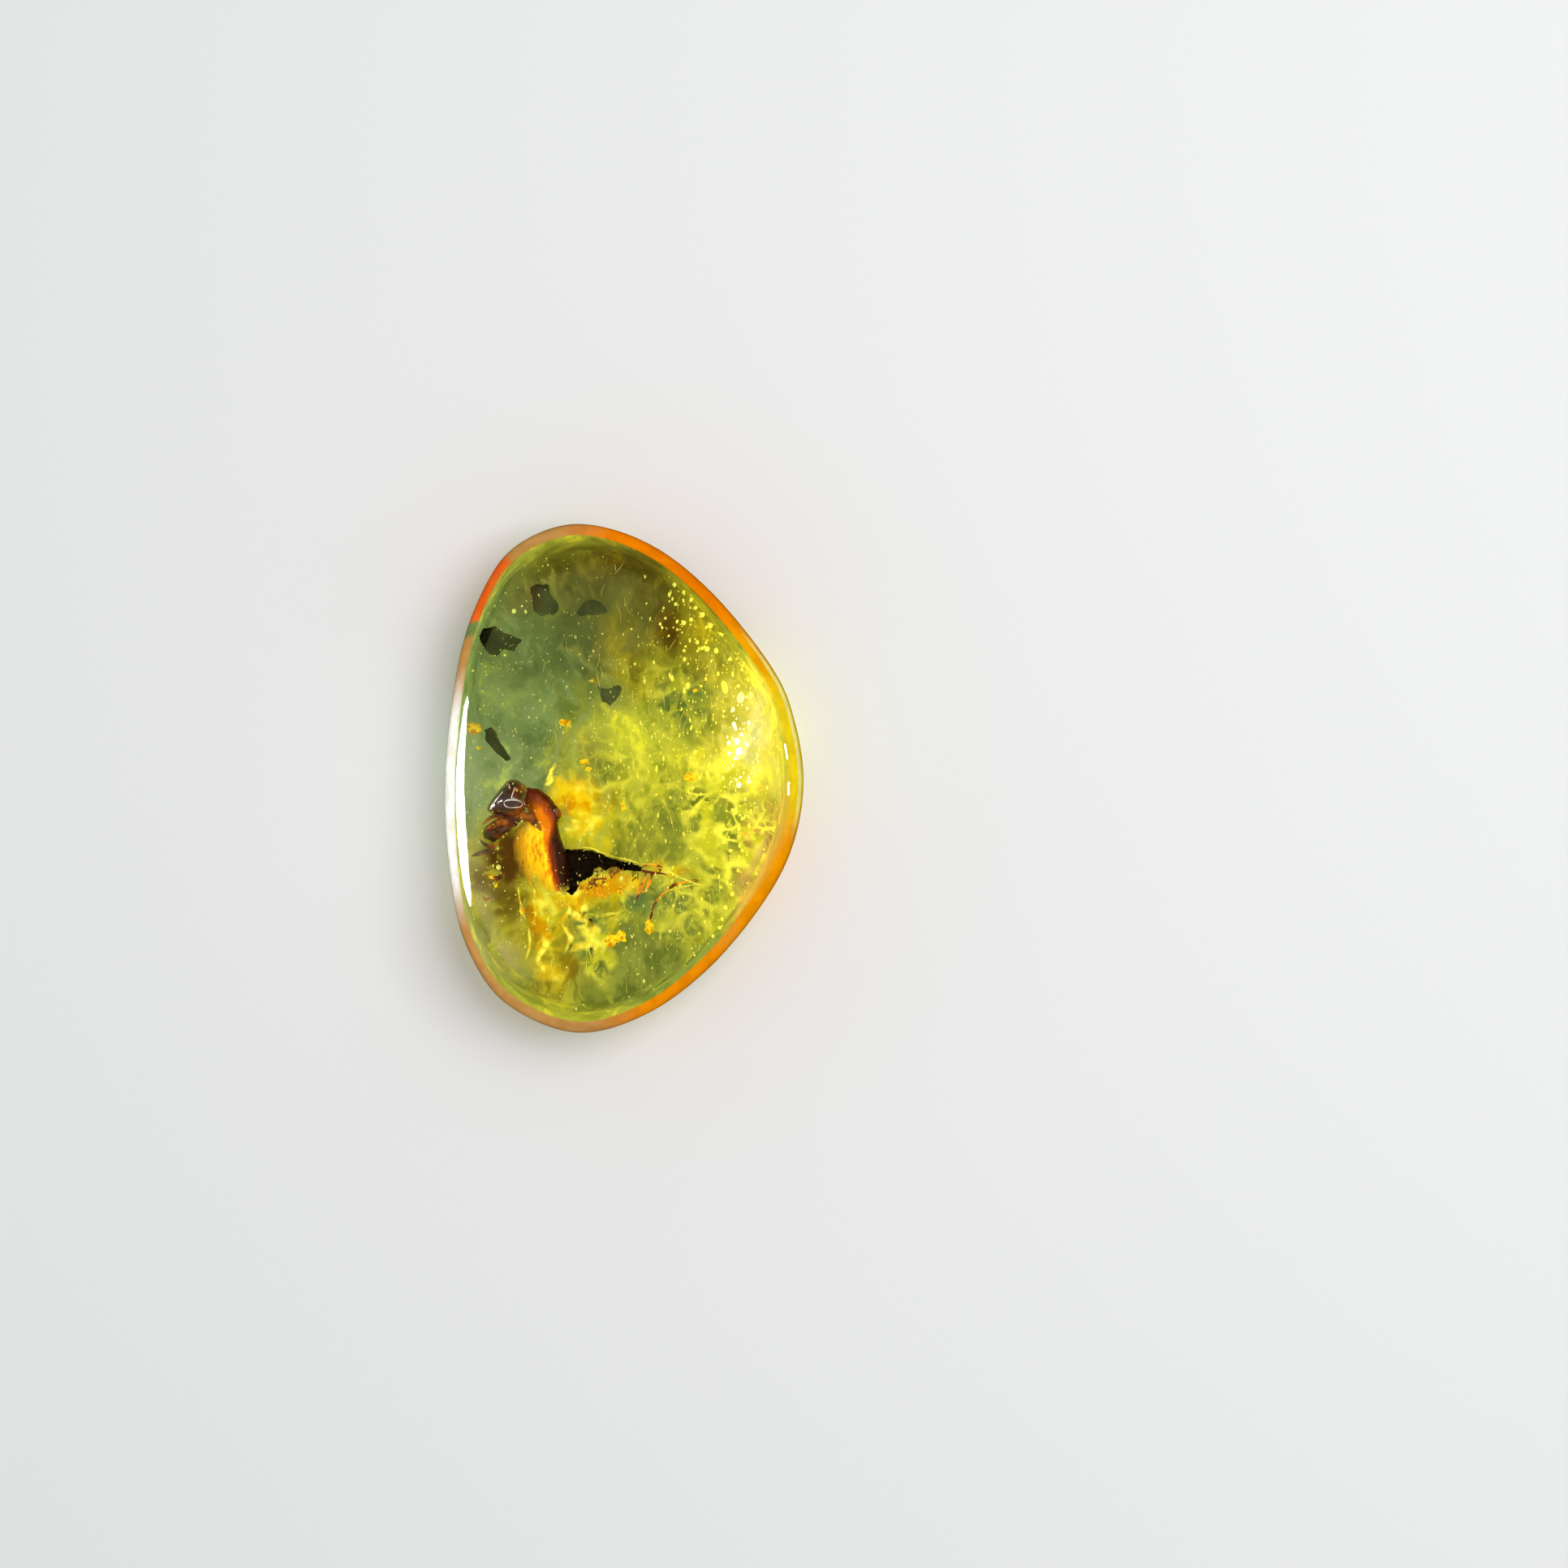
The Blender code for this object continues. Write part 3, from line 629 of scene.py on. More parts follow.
def bed_underside():
    rings = []
    for share, height in edge_rings(10):
        rings.append(
            (
                lambda way, share=share: share * (1 - WAIST_INSET / way),
                lambda spot, share, way, height=height: BED_FLOOR + height(spot, share, way) * 0.92,
            )
        )
    return rings + [(share, lambda spot, share, way: BED_FLOOR) for share in (0.5, 0.25, 0.0)]


flank = [(at_inset(inset), under_dome) for inset in FLANK_INSETS]
steep = [(at_inset(inset), bowl) for inset in STEEP_INSETS]
gentle = [(lambda way, k=k: (1 - VALLEY_INSET / way) * k / 18, bowl) for k in range(17, -1, -1)]


# %% The deep clouds' material
def deep_cloud():
    recipe = Recipe("deep_cloud")
    point = recipe.place()
    inset = recipe.attribute("inset")
    pushed = recipe.warp(point, 0.5, 0.8)
    # the wall of the bowl is painted brighter than its bed, a painted glow of the light near the edge, and
    # peach at the lower right
    wall = recipe.ramp(inset, 2.3, 0.9)
    colour = recipe.mix(cloud_colour(recipe, point), rgb(1.5, 1.5, 1.4), wall, "MULTIPLY")
    peach = recipe.patch(pushed, (8.8, -4.6), (2.6, 4.2), -20, 0.5) * wall * 0.85
    colour = recipe.mix(colour, rgb(0.95, 0.56, 0.1), peach)
    # the rim's colours, a painted glow, with a painted bright line of light in them at the right and a slow
    # drift in their strength
    rim = laid_over(recipe, RIM_GROUND, RIM_COLOURS, pushed, RIM_LEVEL)
    line = recipe.ramp(abs(inset - 0.32), 0.12, 0.04) * recipe.patch(point, (9.8, 3.2), (2.2, 6.0), 12)
    rim = recipe.mix(rim, rgb(1.0, 0.95, 0.35), line)
    drift = recipe.ramp(recipe.noise(pushed, 0.9, 3.0), 0.42, 0.62) * 0.6
    rim = recipe.mix(rim, rgb(0.82, 0.74, 0.6), drift, "MULTIPLY")
    # they end in a sharp edge, a softer one at the right, and fade out down the flank
    melting = recipe.patch(point, (9.6, -1.5), (2.6, 8.0), 0, 0.5)
    band = recipe.ramp(inset, 0.92 + melting * 0.7, 0.78 - melting * 0.3)
    height = recipe.node("ShaderNodeSeparateXYZ", {}, {"Vector": pushed}, 2)
    band = band * recipe.ramp(height, GIRDLE_HEIGHT - 1.9, GIRDLE_HEIGHT - 0.2, 0.25, 1.0)
    return cloudy(recipe, recipe.mix(colour, rim, band))


cloud_bed = ring_body(
    "cloud_bed",
    (at_inset(WAIST_INSET), lambda spot, share, way: GIRDLE_HEIGHT),
    flank + steep + gentle,
    bed_underside(),
    deep_cloud(),
)
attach(cloud_bed, "root")

# %% [markdown]
# ## Bubbles
#
# The resin held thousands of gas bubbles, and each one catches the light as a bright dot, which here is
# painted: a glow of its own on each ball, whiter in the band at the right. They are far too many to model
# finely, so a small one is a ball of twenty faces, a large one has eighty, and all of them are one mesh.
# They crowd together in a band inside the right edge, where most of the large ones are, and the flow of the
# resin drew many of them out along the stone.


# %% Where the bubbles are
def scatter(count, centre, size, limit=0.9):
    """That many random spots in an oval of the stone, crowded towards its middle."""
    spots = []
    while len(spots) < count:
        spot = Vector((dice.gauss(centre[0], size[0]), dice.gauss(centre[1], size[1]), 0))
        if reach_of(spot) < limit:
            spots.append(spot)
    return spots


def joined(bm, part):
    """Adds a small bmesh to a large one, because an operator is slow on a mesh that is already large."""
    mesh = bpy.data.meshes.new("part")
    part.to_mesh(mesh)
    part.free()
    bm.from_mesh(mesh)
    bpy.data.meshes.remove(mesh)


def add_ball(bm, spot, radius, stretch=1.0, detail=1):
    size = Matrix.Diagonal((radius, radius * stretch, radius, 1))
    turn = Matrix.Rotation(dice.uniform(-0.3, 0.3), 4, "Z")
    matrix = Matrix.Translation(spot) @ turn @ size
    bmesh.ops.create_icosphere(bm, subdivisions=detail, radius=1, matrix=matrix)


# Where each crowd of small bubbles is: how many, its middle, its spread, the usual radius and the usual
# stretch
CROWDS = [
    (900, (0.0, 0.0), (7.0, 9.5), 0.024, 1.3),
    (260, (7.2, 3.0), (1.3, 5.5), 0.045, 1.6),
    (120, (4.4, 9.2), (1.6, 2.2), 0.048, 1.3),
    (260, (2.0, 1.0), (2.8, 3.6), 0.032, 2.2),
    (200, (-5.5, 6.0), (2.6, 4.5), 0.026, 1.2),
    (200, (-6.6, -5.5), (1.8, 3.4), 0.028, 1.2),
    (140, (3.5, -9.0), (3.4, 2.6), 0.032, 2.0),
]

# The large bubbles, as the dome shows them: place and radius, which the lens of the dome makes look larger
LENS_GAIN = 0.85
LARGE_BUBBLES = [
    (3.05, 11.55, 0.13),
    (3.6, 11.1, 0.1),
    (4.05, 10.65, 0.12),
    (4.72, 9.75, 0.16),
    (5.2, 9.1, 0.17),
    (4.05, 9.45, 0.14),
    (5.0, 7.7, 0.19),
    (5.55, 7.6, 0.15),
    (5.9, 8.55, 0.1),
    (6.85, 5.5, 0.12),
    (7.0, 4.8, 0.26),
    (7.65, 4.95, 0.14),
    (6.55, 4.1, 0.13),
    (6.6, 3.2, 0.14),
    (6.8, 2.2, 0.2),
    (6.9, 1.6, 0.24),
    (6.3, 2.1, 0.13),
    (6.9, -0.4, 0.17),
    (7.5, -0.2, 0.14),
    (4.3, 1.55, 0.13),
    (-6.5, 9.95, 0.14),
    (-7.4, -5.3, 0.17),
    (-0.1, -5.95, 0.13),
    (6.1, -7.7, 0.13),
    (4.66, -10.6, 0.1),
    (4.9, -10.3, 0.13),
    (5.35, -9.4, 0.1),
    (5.75, -8.9, 0.13),
    (5.9, -8.4, 0.1),
    (6.5, -6.9, 0.13),
    (6.85, -5.5, 0.1),
    (7.1, -4.3, 0.1),
    (6.9, -3.0, 0.13),
    (7.1, -2.4, 0.1),
    (6.5, -1.9, 0.1),
    (6.7, 1.2, 0.12),
    (7.05, 2.6, 0.14),
    (6.4, -4.3, 0.12),
    (6.0, -3.8, 0.12),
]


# %% The bubbles themselves
def bubble_painted_glint():
    recipe = Recipe("bubble_painted_glint")
    point = recipe.place()
    warm = recipe.patch(point, (7.0, 1.0), (6.0, 13.0), 0, 0.6)
    colour = recipe.mix(rgb(0.56, 0.6, 0.14), rgb(0.95, 0.88, 0.08), warm)
    # painted highlight: near white where the bubbles sit in the glow at the right
    colour = recipe.mix(colour, rgb(1.5, 1.5, 1.1), recipe.patch(point, (6.8, 1.8), (0.9, 2.6), 0, 0.5))
    # the glow is painted: it stands for the light each bubble catches
    return glowing(recipe, colour, 0.75, Roughness=0.15)


HANDFUL = 40
bm = bmesh.new()
for count, centre, spread, usual, stretch in CROWDS:
    spots = scatter(count, centre, spread)
    for first in range(0, count, HANDFUL):
        part = bmesh.new()
        for spot in spots[first : first + HANDFUL]:
            spot.z = dice.uniform(2.6, max(2.8, min(6.3, roof(spot) * 0.86)))
            radius = usual * math.exp(dice.gauss(0, 0.45))
            add_ball(part, spot, radius, max(1.0, stretch * dice.uniform(0.5, 1.5)))
        joined(bm, part)
for x, y, radius in LARGE_BUBBLES:
    add_ball(bm, seen(x, y, dice.uniform(4.4, 5.0)), LENS_GAIN * radius, dice.uniform(1.0, 1.5), 2)
bubbles = finished(bm, "bubbles", bubble_painted_glint())
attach(bubbles, "root")

# %% [markdown]
# ## Veils
#
# Thin clouds hang at several depths between the deep clouds and the dome. Each is a closed lens, under a
# tenth of a millimetre thick, that covers the stone in plan, and its Alpha decides where it shows. Three of
# them at different heights slide over each other as the eye moves, which is what gives cloudy amber its
# depth. They cast no shadows, because a real wisp of bubbles dims hardly any light. A row of a cover is a
# centre, a half size, a turn, a softness and a strength, as above.


# %% The veils' shape
HALF_VEIL = 0.04


def veil(name, height, wave, limit, material):
    """A thin closed lens at that height, with waves in it."""

    def level(side):
        return lambda spot, share, way: (
            height + wave * noise.noise(Vector((spot.x * 0.3, spot.y * 0.3, height))) + side * HALF_VEIL
        )

    shares = [limit * (1 - i / 24) for i in range(1, 24)] + [0.0]
    upper = [(share, level(1)) for share in shares]
    lower = [(share, level(-1)) for share in shares]
    piece = ring_body(name, (limit, level(0)), upper, lower, material, segments=96)
    piece.visible_shadow = False
    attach(piece, "root")


def covered(recipe, rows, point, level):
    """How much a veil at that height covers: the strongest of its patches at that point."""
    cover = None
    for centre, size, turn, soft, strength in rows:
        share = recipe.patch(point, seen(*centre, level).xy, size, turn, soft) * strength
        cover = share if cover is None else cover.maths("MAXIMUM", cover, share)
    return cover


# %% The lowest veil: wisps drawn out along the stone
WISP_COLOURS = [
    (rgb(0.25, 0.38, 0.14), (-6.0, 3.5), (5.0, 8.0), 0, 0.5, 1.0),
    (rgb(0.24, 0.2, 0.02), (1.2, 10.5), (6.0, 3.6), -12, 0.5, 1.0),
    # a painted glow at the right, of light focused through the stone
    (rgb(1.0, 0.95, 0.16), (7.6, 2.6), (2.2, 4.4), 6, 0.5, 1.0),
    (rgb(0.46, 0.52, 0.06), (5.6, -4.4), (3.0, 3.2), -10, 0.5, 1.0),
    (rgb(0.34, 0.4, 0.07), (1.6, -9.6), (6.0, 3.4), 0, 0.5, 1.0),
    (rgb(0.66, 0.5, 0.01), (-4.8, -8.6), (1.6, 3.0), 10, 0.5, 0.9),
    (rgb(0.62, 0.66, 0.07), (0.6, 1.6), (3.6, 3.0), 0, 0.5, 0.8),
]


def wisp_cloud():
    recipe = Recipe("wisp_cloud")
    point = recipe.place()
    pushed = recipe.warp(point, 0.35, 3.0, 5.0)
    colour = laid_over(recipe, rgb(0.6, 0.62, 0.05), WISP_COLOURS, pushed, WISP_LEVEL)
    grain = recipe.noise(recipe.stretched(pushed, (1.5, 0.6, 1.0), 8), 0.9, 5.0, 0.62)
    return cloudy(recipe, colour, recipe.ramp(grain, 0.48, 0.68) * 0.6)


veil("wisp_veil", WISP_LEVEL, 0.7, 0.86, wisp_cloud())

# %% The middle veil: a net of creases at the lower right, gold clouds and brown smoke round the husk
FOLD_COVER = [
    ((6.6, -2.6), (2.6, 3.8), 15, 0.35, 1.0),
    ((4.8, -7.4), (2.6, 3.0), -20, 0.5, 0.45),
    ((-1.2, -9.0), (1.0, 2.6), -8, 0.5, 0.55),
    ((-4.8, -9.4), (0.9, 2.6), 12, 0.5, 0.55),
    ((2.8, 5.6), (1.3, 2.6), 25, 0.6, 0.25),
    ((1.0, 0.0), (3.6, 2.6), 0, 0.6, 0.35),
]
GOLD_COVER = [
    ((-3.15, -1.25), (1.05, 0.95), -15, 0.6, 1.0),
    ((-2.45, -1.75), (0.5, 0.75), 0, 0.6, 0.8),
    ((-3.5, -0.35), (0.45, 0.35), 0, 0.6, 0.8),
    ((-2.4, -2.75), (1.1, 0.4), 10, 0.6, 0.6),
    ((2.6, -5.4), (1.3, 0.5), -12, 0.7, 0.4),
    ((-4.25, 0.25), (0.14, 0.5), -12, 0.6, 0.8),
    ((-2.6, -7.0), (1.5, 0.7), 8, 0.5, 0.7),
    ((-0.6, -6.4), (1.5, 0.6), 8, 0.5, 0.7),
    ((-5.1, -8.4), (0.5, 1.7), 12, 0.5, 0.6),
    ((-4.4, -11.6), (0.9, 0.5), -15, 0.6, 0.4),
]
SMOKE_COVER = [
    ((-7.0, -4.7), (1.5, 2.2), 14, 0.55, 1.0),
    ((-7.0, -7.0), (1.3, 2.0), 14, 0.6, 0.9),
    ((-8.2, -5.8), (1.0, 1.4), 0, 0.6, 0.9),
    ((-6.4, -9.4), (0.9, 1.8), 18, 0.6, 0.6),
]


def fold_cloud():
    recipe = Recipe("fold_cloud")
    point = recipe.place()
    pushed = recipe.warp(recipe.warp(point, 0.35, 3.6, 11.0), 1.1, 0.9, 3.0)
    # creases: the edges of warped cells, and finer lines where noise crosses its middle
    cells = {"Vector": recipe.warp(point, 0.5, 2.2, 11.0), "Scale": 0.55}
    crease = recipe.node("ShaderNodeTexVoronoi", {"feature": "DISTANCE_TO_EDGE"}, cells)
    width = recipe.ramp(recipe.noise(point, 0.7), 0.35, 0.65, 0.06, 0.3)
    fine = recipe.ramp(abs(recipe.noise(pushed, 0.8) - 0.5), 0.05, 0.0) * 0.5
    net = fine.maths("MAXIMUM", recipe.ramp(crease, width, 0.0) ** 0.8, fine)
    net = net * covered(recipe, FOLD_COVER, pushed, FOLD_LEVEL)
    shade = recipe.noise(recipe.warp(point, 0.8, 1.2, 8.0), 0.9)
    yellow = recipe.between(rgb(0.72, 0.73, 0.03), rgb(1.2, 1.16, 0.1), shade, 0.38, 0.62)
    # gold: orange where the noise of its lobes is low, yellow where it is high, and a painted shadow of
    # red-brown beside the knob
    lobes = recipe.noise(recipe.warp(point, 0.9, 1.4, 5.0), 0.85, 1.5)
    gold = covered(recipe, GOLD_COVER, recipe.warp(point, 0.9, 1.3, 2.0), FOLD_LEVEL)
    gold = gold * recipe.ramp(recipe.noise(pushed, 0.8, 1.5), 0.3, 0.5, 0.35, 1.0)
    amber = recipe.between(rgb(0.85, 0.4, 0.0), rgb(1.1, 0.82, 0.01), lobes, 0.36, 0.5)
    amber = recipe.between(amber, rgb(1.35, 1.25, 0.12), lobes, 0.52, 0.66)
    dark = recipe.patch(pushed, seen(-3.5, -1.85, FOLD_LEVEL).xy, (0.7, 0.5), 0, 0.6) * 0.8
    amber = recipe.mix(amber, rgb(0.5, 0.17, 0.0), dark)
    colour = recipe.between(yellow, amber, gold, 0.05, 0.35)
    # smoke over both
    smoke = covered(recipe, SMOKE_COVER, recipe.warp(point, 0.9, 1.2, 6.0), FOLD_LEVEL)
    smoke = smoke * recipe.ramp(recipe.noise(point, 1.3, 4.0, 0.6), 0.3, 0.5, 0.55, 1.0)
    colour = recipe.mix(colour, rgb(0.105, 0.048, 0.006), smoke)
    cover = net.maths("MAXIMUM", net.maths("MAXIMUM", net, gold), smoke)
    return cloudy(recipe, colour, cover * 0.9)


veil("fold_veil", FOLD_LEVEL, 0.9, 0.86, fold_cloud())

# %% The upper veil: jade haze over the crumbs, peach milk at the edges
HAZE_COVER = [
    ((-3.6, 8.6), (5.4, 3.2), 20, 0.35, 0.2),
    ((-7.4, 3.4), (2.2, 2.6), 0, 0.5, 0.14),
    ((-0.9, 4.9), (1.2, 1.0), 0, 0.6, 0.24),
    ((-9.2, -1.0), (1.0, 4.4), 0, 0.6, 0.35),
    ((-9.0, -8.0), (1.1, 3.4), 14, 0.6, 0.22),
    ((-7.0, -11.6), (1.5, 1.8), 35, 0.6, 0.3),
    ((8.3, -6.0), (0.8, 2.6), -20, 0.5, 0.6),
]
HAZE_COLOURS = [
    (rgb(0.38, 0.5, 0.27), (-9.6, -1.0), (1.4, 4.6), 0, 0.5, 0.8),
    (rgb(0.5, 0.42, 0.26), (-8.8, -8.6), (1.8, 5.0), 18, 0.4, 0.8),
    (rgb(0.7, 0.4, 0.14), (8.3, -6.0), (1.4, 3.2), -20, 0.4, 1.0),
    (rgb(0.36, 0.14, 0.05), (-6.6, 11.4), (1.6, 1.4), 0, 0.5, 0.6),
]


def haze_cloud():
    recipe = Recipe("haze_cloud")
    point = recipe.place()
    pushed = recipe.warp(point, 0.5, 1.6, 9.0)
    cover = covered(recipe, HAZE_COVER, pushed, HAZE_LEVEL)
    drift = recipe.ramp(recipe.noise(pushed, 0.6, 4.0), 0.3, 0.65, 0.55, 1.0)
    colour = laid_over(recipe, rgb(0.19, 0.25, 0.08), HAZE_COLOURS, pushed, HAZE_LEVEL)
    return cloudy(recipe, colour, cover * drift)


veil("haze_veil", HAZE_LEVEL, 0.25, 0.84, haze_cloud())

# %% [markdown]
# ## Threads
#
# Hairs, fibres, ribbons and the painted glints on the husk's head are all tubes: a small circle, extruded
# from point to point along a smooth path, that narrows at both ends. One helper makes them all. It stores on
# each corner how far along the tube it lies, and which way it faces across, so that a material can darken a
# tube towards its end or along one side.


# %% A skin through rings, and a tube along a path
def add_rings(bm, rings, across):
    """A closed skin through rings of points, from the first ring to the last."""
    part = bmesh.new()
    along = part.verts.layers.float.new("along")
    side = part.verts.layers.float.new("across")
    made = bmesh.ops.create_circle(part, segments=len(rings[0]), radius=1, cap_ends=True)["verts"]
    edges = list({e for v in made for e in v.link_edges})
    last = {vert: i for i, vert in enumerate(made)}
    for step, ring in enumerate(rings):
        if step:
            grown = bmesh.ops.extrude_edge_only(part, edges=edges)["geom"]
            verts = {g for g in grown if isinstance(g, bmesh.types.BMVert)}
            edges = [g for g in grown if isinstance(g, bmesh.types.BMEdge) and verts.issuperset(g.verts)]
            last = {v: last[e.other_vert(v)] for v in verts for e in v.link_edges if e.other_vert(v) in last}
        for vert, i in last.items():
            vert.co = ring[i]
            vert[along] = step / (len(rings) - 1)
            vert[side] = across[i]
    bmesh.ops.contextual_create(part, geom=edges)
    joined(bm, part)


def smooth_path(points, steps):
    path = [Vector(p) for p in points]
    spots = [spline_point(path, i, k / steps, False) for i in range(len(path) - 1) for k in range(steps)]
    return spots + [path[-1]]


def add_tube(bm, points, radius, sides=5, steps=3, flat=1.0, taper=0.25):
    """A closed tube through the points. Radius is a number, or a list with one for each point."""
    spots = smooth_path(points, steps)
    count = len(spots) - 1
    turns = [math.tau * k / sides for k in range(sides)]
    rings = []
    for i, spot in enumerate(spots):
        way = (spots[min(i + 1, count)] - spots[max(i - 1, 0)]).normalized()
        side = way.cross(Vector((0, 0, 1))).normalized()
        up = side.cross(way)
        share = i / count
        if isinstance(radius, list):
            place = share * (len(radius) - 1)
            low = min(int(place), len(radius) - 2)
            here = radius[low] + (radius[low + 1] - radius[low]) * (place - low)
        else:
            here = radius * min(1.0, taper + 4 * min(share, 1 - share))
        rings.append([spot + (side * math.cos(t) + up * math.sin(t) * flat) * here for t in turns])
    add_rings(bm, rings, [math.cos(t) * 0.5 + 0.5 for t in turns])


def seen_path(points, z):
    """The true places of points that show there, all at one height or rising from the first to the second."""
    low, high = z if isinstance(z, tuple) else (z, z)
    last = len(points) - 1
    return [seen(x, y, low + (high - low) * i / last) for i, (x, y) in enumerate(points)]


# %% [markdown]
# ## Hairs and streaks
#
# Fine bright streaks run mostly along the stone: drawn-out bubbles and hair-thin flow lines. They are short
# tubes with a slight bend, crowded in the middle and along the lower right edge.

# %% The hairs
# Each crowd: how many, its middle, its spread, the usual length, and how far they lean, in degrees
HAIR_CROWDS = [
    (60, (1.6, 1.6), (2.8, 3.4), 0.8, 12),
    (30, (6.4, 3.0), (1.2, 5.0), 0.7, 10),
    (30, (4.6, -9.0), (2.6, 2.4), 1.1, 8),
    (16, (-3.0, 5.0), (3.6, 4.6), 0.6, 40),
    (20, (-4.6, -8.6), (1.4, 2.4), 0.9, 14),
    (18, (3.0, 9.4), (2.4, 2.6), 0.7, 20),
]
hair_colours = (rgb(0.55, 0.55, 0.08), rgb(1.0, 0.92, 0.25), 0.4, 0.6)
# the hairs' glow is painted: it stands for the light the bright streaks catch
hair_painted_glow = grained("hair_painted_glow", *hair_colours, (1.5, 2.0), glow=0.35, Roughness=0.3)
bm = bmesh.new()
for count, centre, spread, usual, lean in HAIR_CROWDS:
    for spot in scatter(count, centre, spread, 0.86):
        spot.z = dice.uniform(2.8, 5.0)
        length = usual * math.exp(dice.gauss(0, 0.4))
        angle = math.radians(90 + dice.gauss(0, lean))
        way = Vector((math.cos(angle), math.sin(angle), dice.uniform(-0.2, 0.2)))
        bend = Vector((dice.gauss(0, 0.08), 0, 0)) * length
        points = [spot - way * length / 2, spot + bend, spot + way * length / 2]
        add_tube(bm, points, dice.uniform(0.006, 0.013), sides=4, steps=3)
hairs = finished(bm, "hairs", hair_painted_glow)
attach(hairs, "root")

# %% [markdown]
# ## The husk
#
# The largest thing in the stone is a curled husk: a glossy dark head with flat facets, a strap that arches
# from it and darkens towards its outer edge, and a golden skin stretched beside the strap. It may be what
# is left of an insect or of a bud. The head keeps the solid's form, refined, eased and swollen a little.
# The strap and the skin are new.


# %% Finer copies of the solids
def solid_of(node):
    """The node's mesh as a bmesh in millimetres, with its loose triangles merged."""
    bm = bmesh.new()
    bm.from_mesh(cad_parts[node].data)
    bm.transform(Matrix.Scale(1 / MM, 4))
    bmesh.ops.remove_doubles(bm, verts=bm.verts, dist=0.0005)
    return bm


def roughen(bm, longest, rows, shift=0.0):
    """Divides edges down to a length, then pushes the corners in and out by noise of each scale and depth."""
    for _ in range(5):
        edges = [e for e in bm.edges if e.calc_length() > longest]
        bmesh.ops.subdivide_edges(bm, edges=edges, cuts=1)
        bmesh.ops.triangulate(bm, faces=[f for f in bm.faces if len(f.verts) > 3])
    bm.normal_update()
    offset = Vector((shift, shift * 2, shift * 3))
    pushes = [sum(depth * noise.noise(v.co * scale + offset) for scale, depth in rows) for v in bm.verts]
    for vert, push in zip(bm.verts, pushes):
        vert.co += vert.normal * push


# %% The head
def head_shell():
    recipe = Recipe("head_shell")
    point = recipe.place()
    brown = recipe.noise(point, 1.1, 3.0)
    colour = recipe.between(rgb(0.034, 0.009, 0.014), rgb(0.22, 0.04, 0.006), brown, 0.45, 0.7)
    pores = recipe.noise(point, 9.0, 3.0)
    dull = recipe.ramp(pores, 0.35, 0.75, 0.08, 0.22)
    pits = recipe.bump(pores, 0.15, 0.00003)
    return glowing(recipe, colour, 0.3, Roughness=dull, Coat_Weight=1.0, Normal=pits)


SHELL_SWELL = 0.12
bm = solid_of("husk_head")
roughen(bm, 0.16, [])
every_way = {"use_axis_x": True, "use_axis_y": True, "use_axis_z": True}
for _ in range(2):
    bmesh.ops.smooth_vert(bm, verts=bm.verts, factor=0.5, **every_way)
roughen(bm, 0.12, [(1.2, 0.05), (4.0, 0.012)])
bm.normal_update()
for vert in bm.verts:
    vert.co += vert.normal * SHELL_SWELL
head_top = BVHTree.FromBMesh(bm)
head = finished(bm, "husk_head_shell", head_shell())
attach(head, "root")
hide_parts("husk_head")

# %% The painted glints on the head
# Tubes along the ridges, pale and glowing as painted glints: points as they show from above, and a radius, or
# one for each point
HEAD_GLINTS = [
    ([(-7.07, -1.42), (-6.85, -1.3), (-6.52, -1.28), (-6.15, -1.34), (-5.97, -1.5)], 0.04),
    (
        [(-5.97, -1.5), (-6.04, -1.66), (-6.4, -1.74), (-6.8, -1.72), (-7.02, -1.6), (-7.07, -1.42)],
        0.03,
    ),
    ([(-6.64, -1.24), (-6.56, -0.95), (-6.44, -0.66), (-6.3, -0.36)], 0.028),
    (
        [(-7.83, -1.84), (-7.76, -1.66), (-7.58, -1.36), (-7.32, -1.02), (-7.12, -0.78)],
        [0.07, 0.075, 0.05, 0.03, 0.015],
    ),
    ([(-6.76, -0.33), (-6.74, -0.48), (-6.72, -0.64)], 0.03),
    ([(-5.88, -1.36), (-5.84, -1.6)], 0.02),
]
# pale lilac-white colours and a glow that paint the glints
glint_colours = (rgb(0.42, 0.36, 0.44), rgb(0.85, 0.8, 0.92), 0.35, 0.6)
head_painted_glint = grained("head_painted_glint", *glint_colours, (3.0, 2.0), glow=0.4, Roughness=0.12, Coat_Weight=1.0)


def on_head(x, y):
    """The point of the head's upper side that shows there."""
    spot = seen(x, y, 5.2)
    hit = head_top.ray_cast(Vector((spot.x, spot.y, 8)), Vector((0, 0, -1)))
    return hit[0] if hit[0] else spot


bm = bmesh.new()
for points, radius in HEAD_GLINTS:
    add_tube(bm, [on_head(x, y) for x, y in points], radius, sides=8, steps=6, flat=0.7, taper=0.3)
rims = finished(bm, "husk_head_painted_glints", head_painted_glint)
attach(rims, "root")

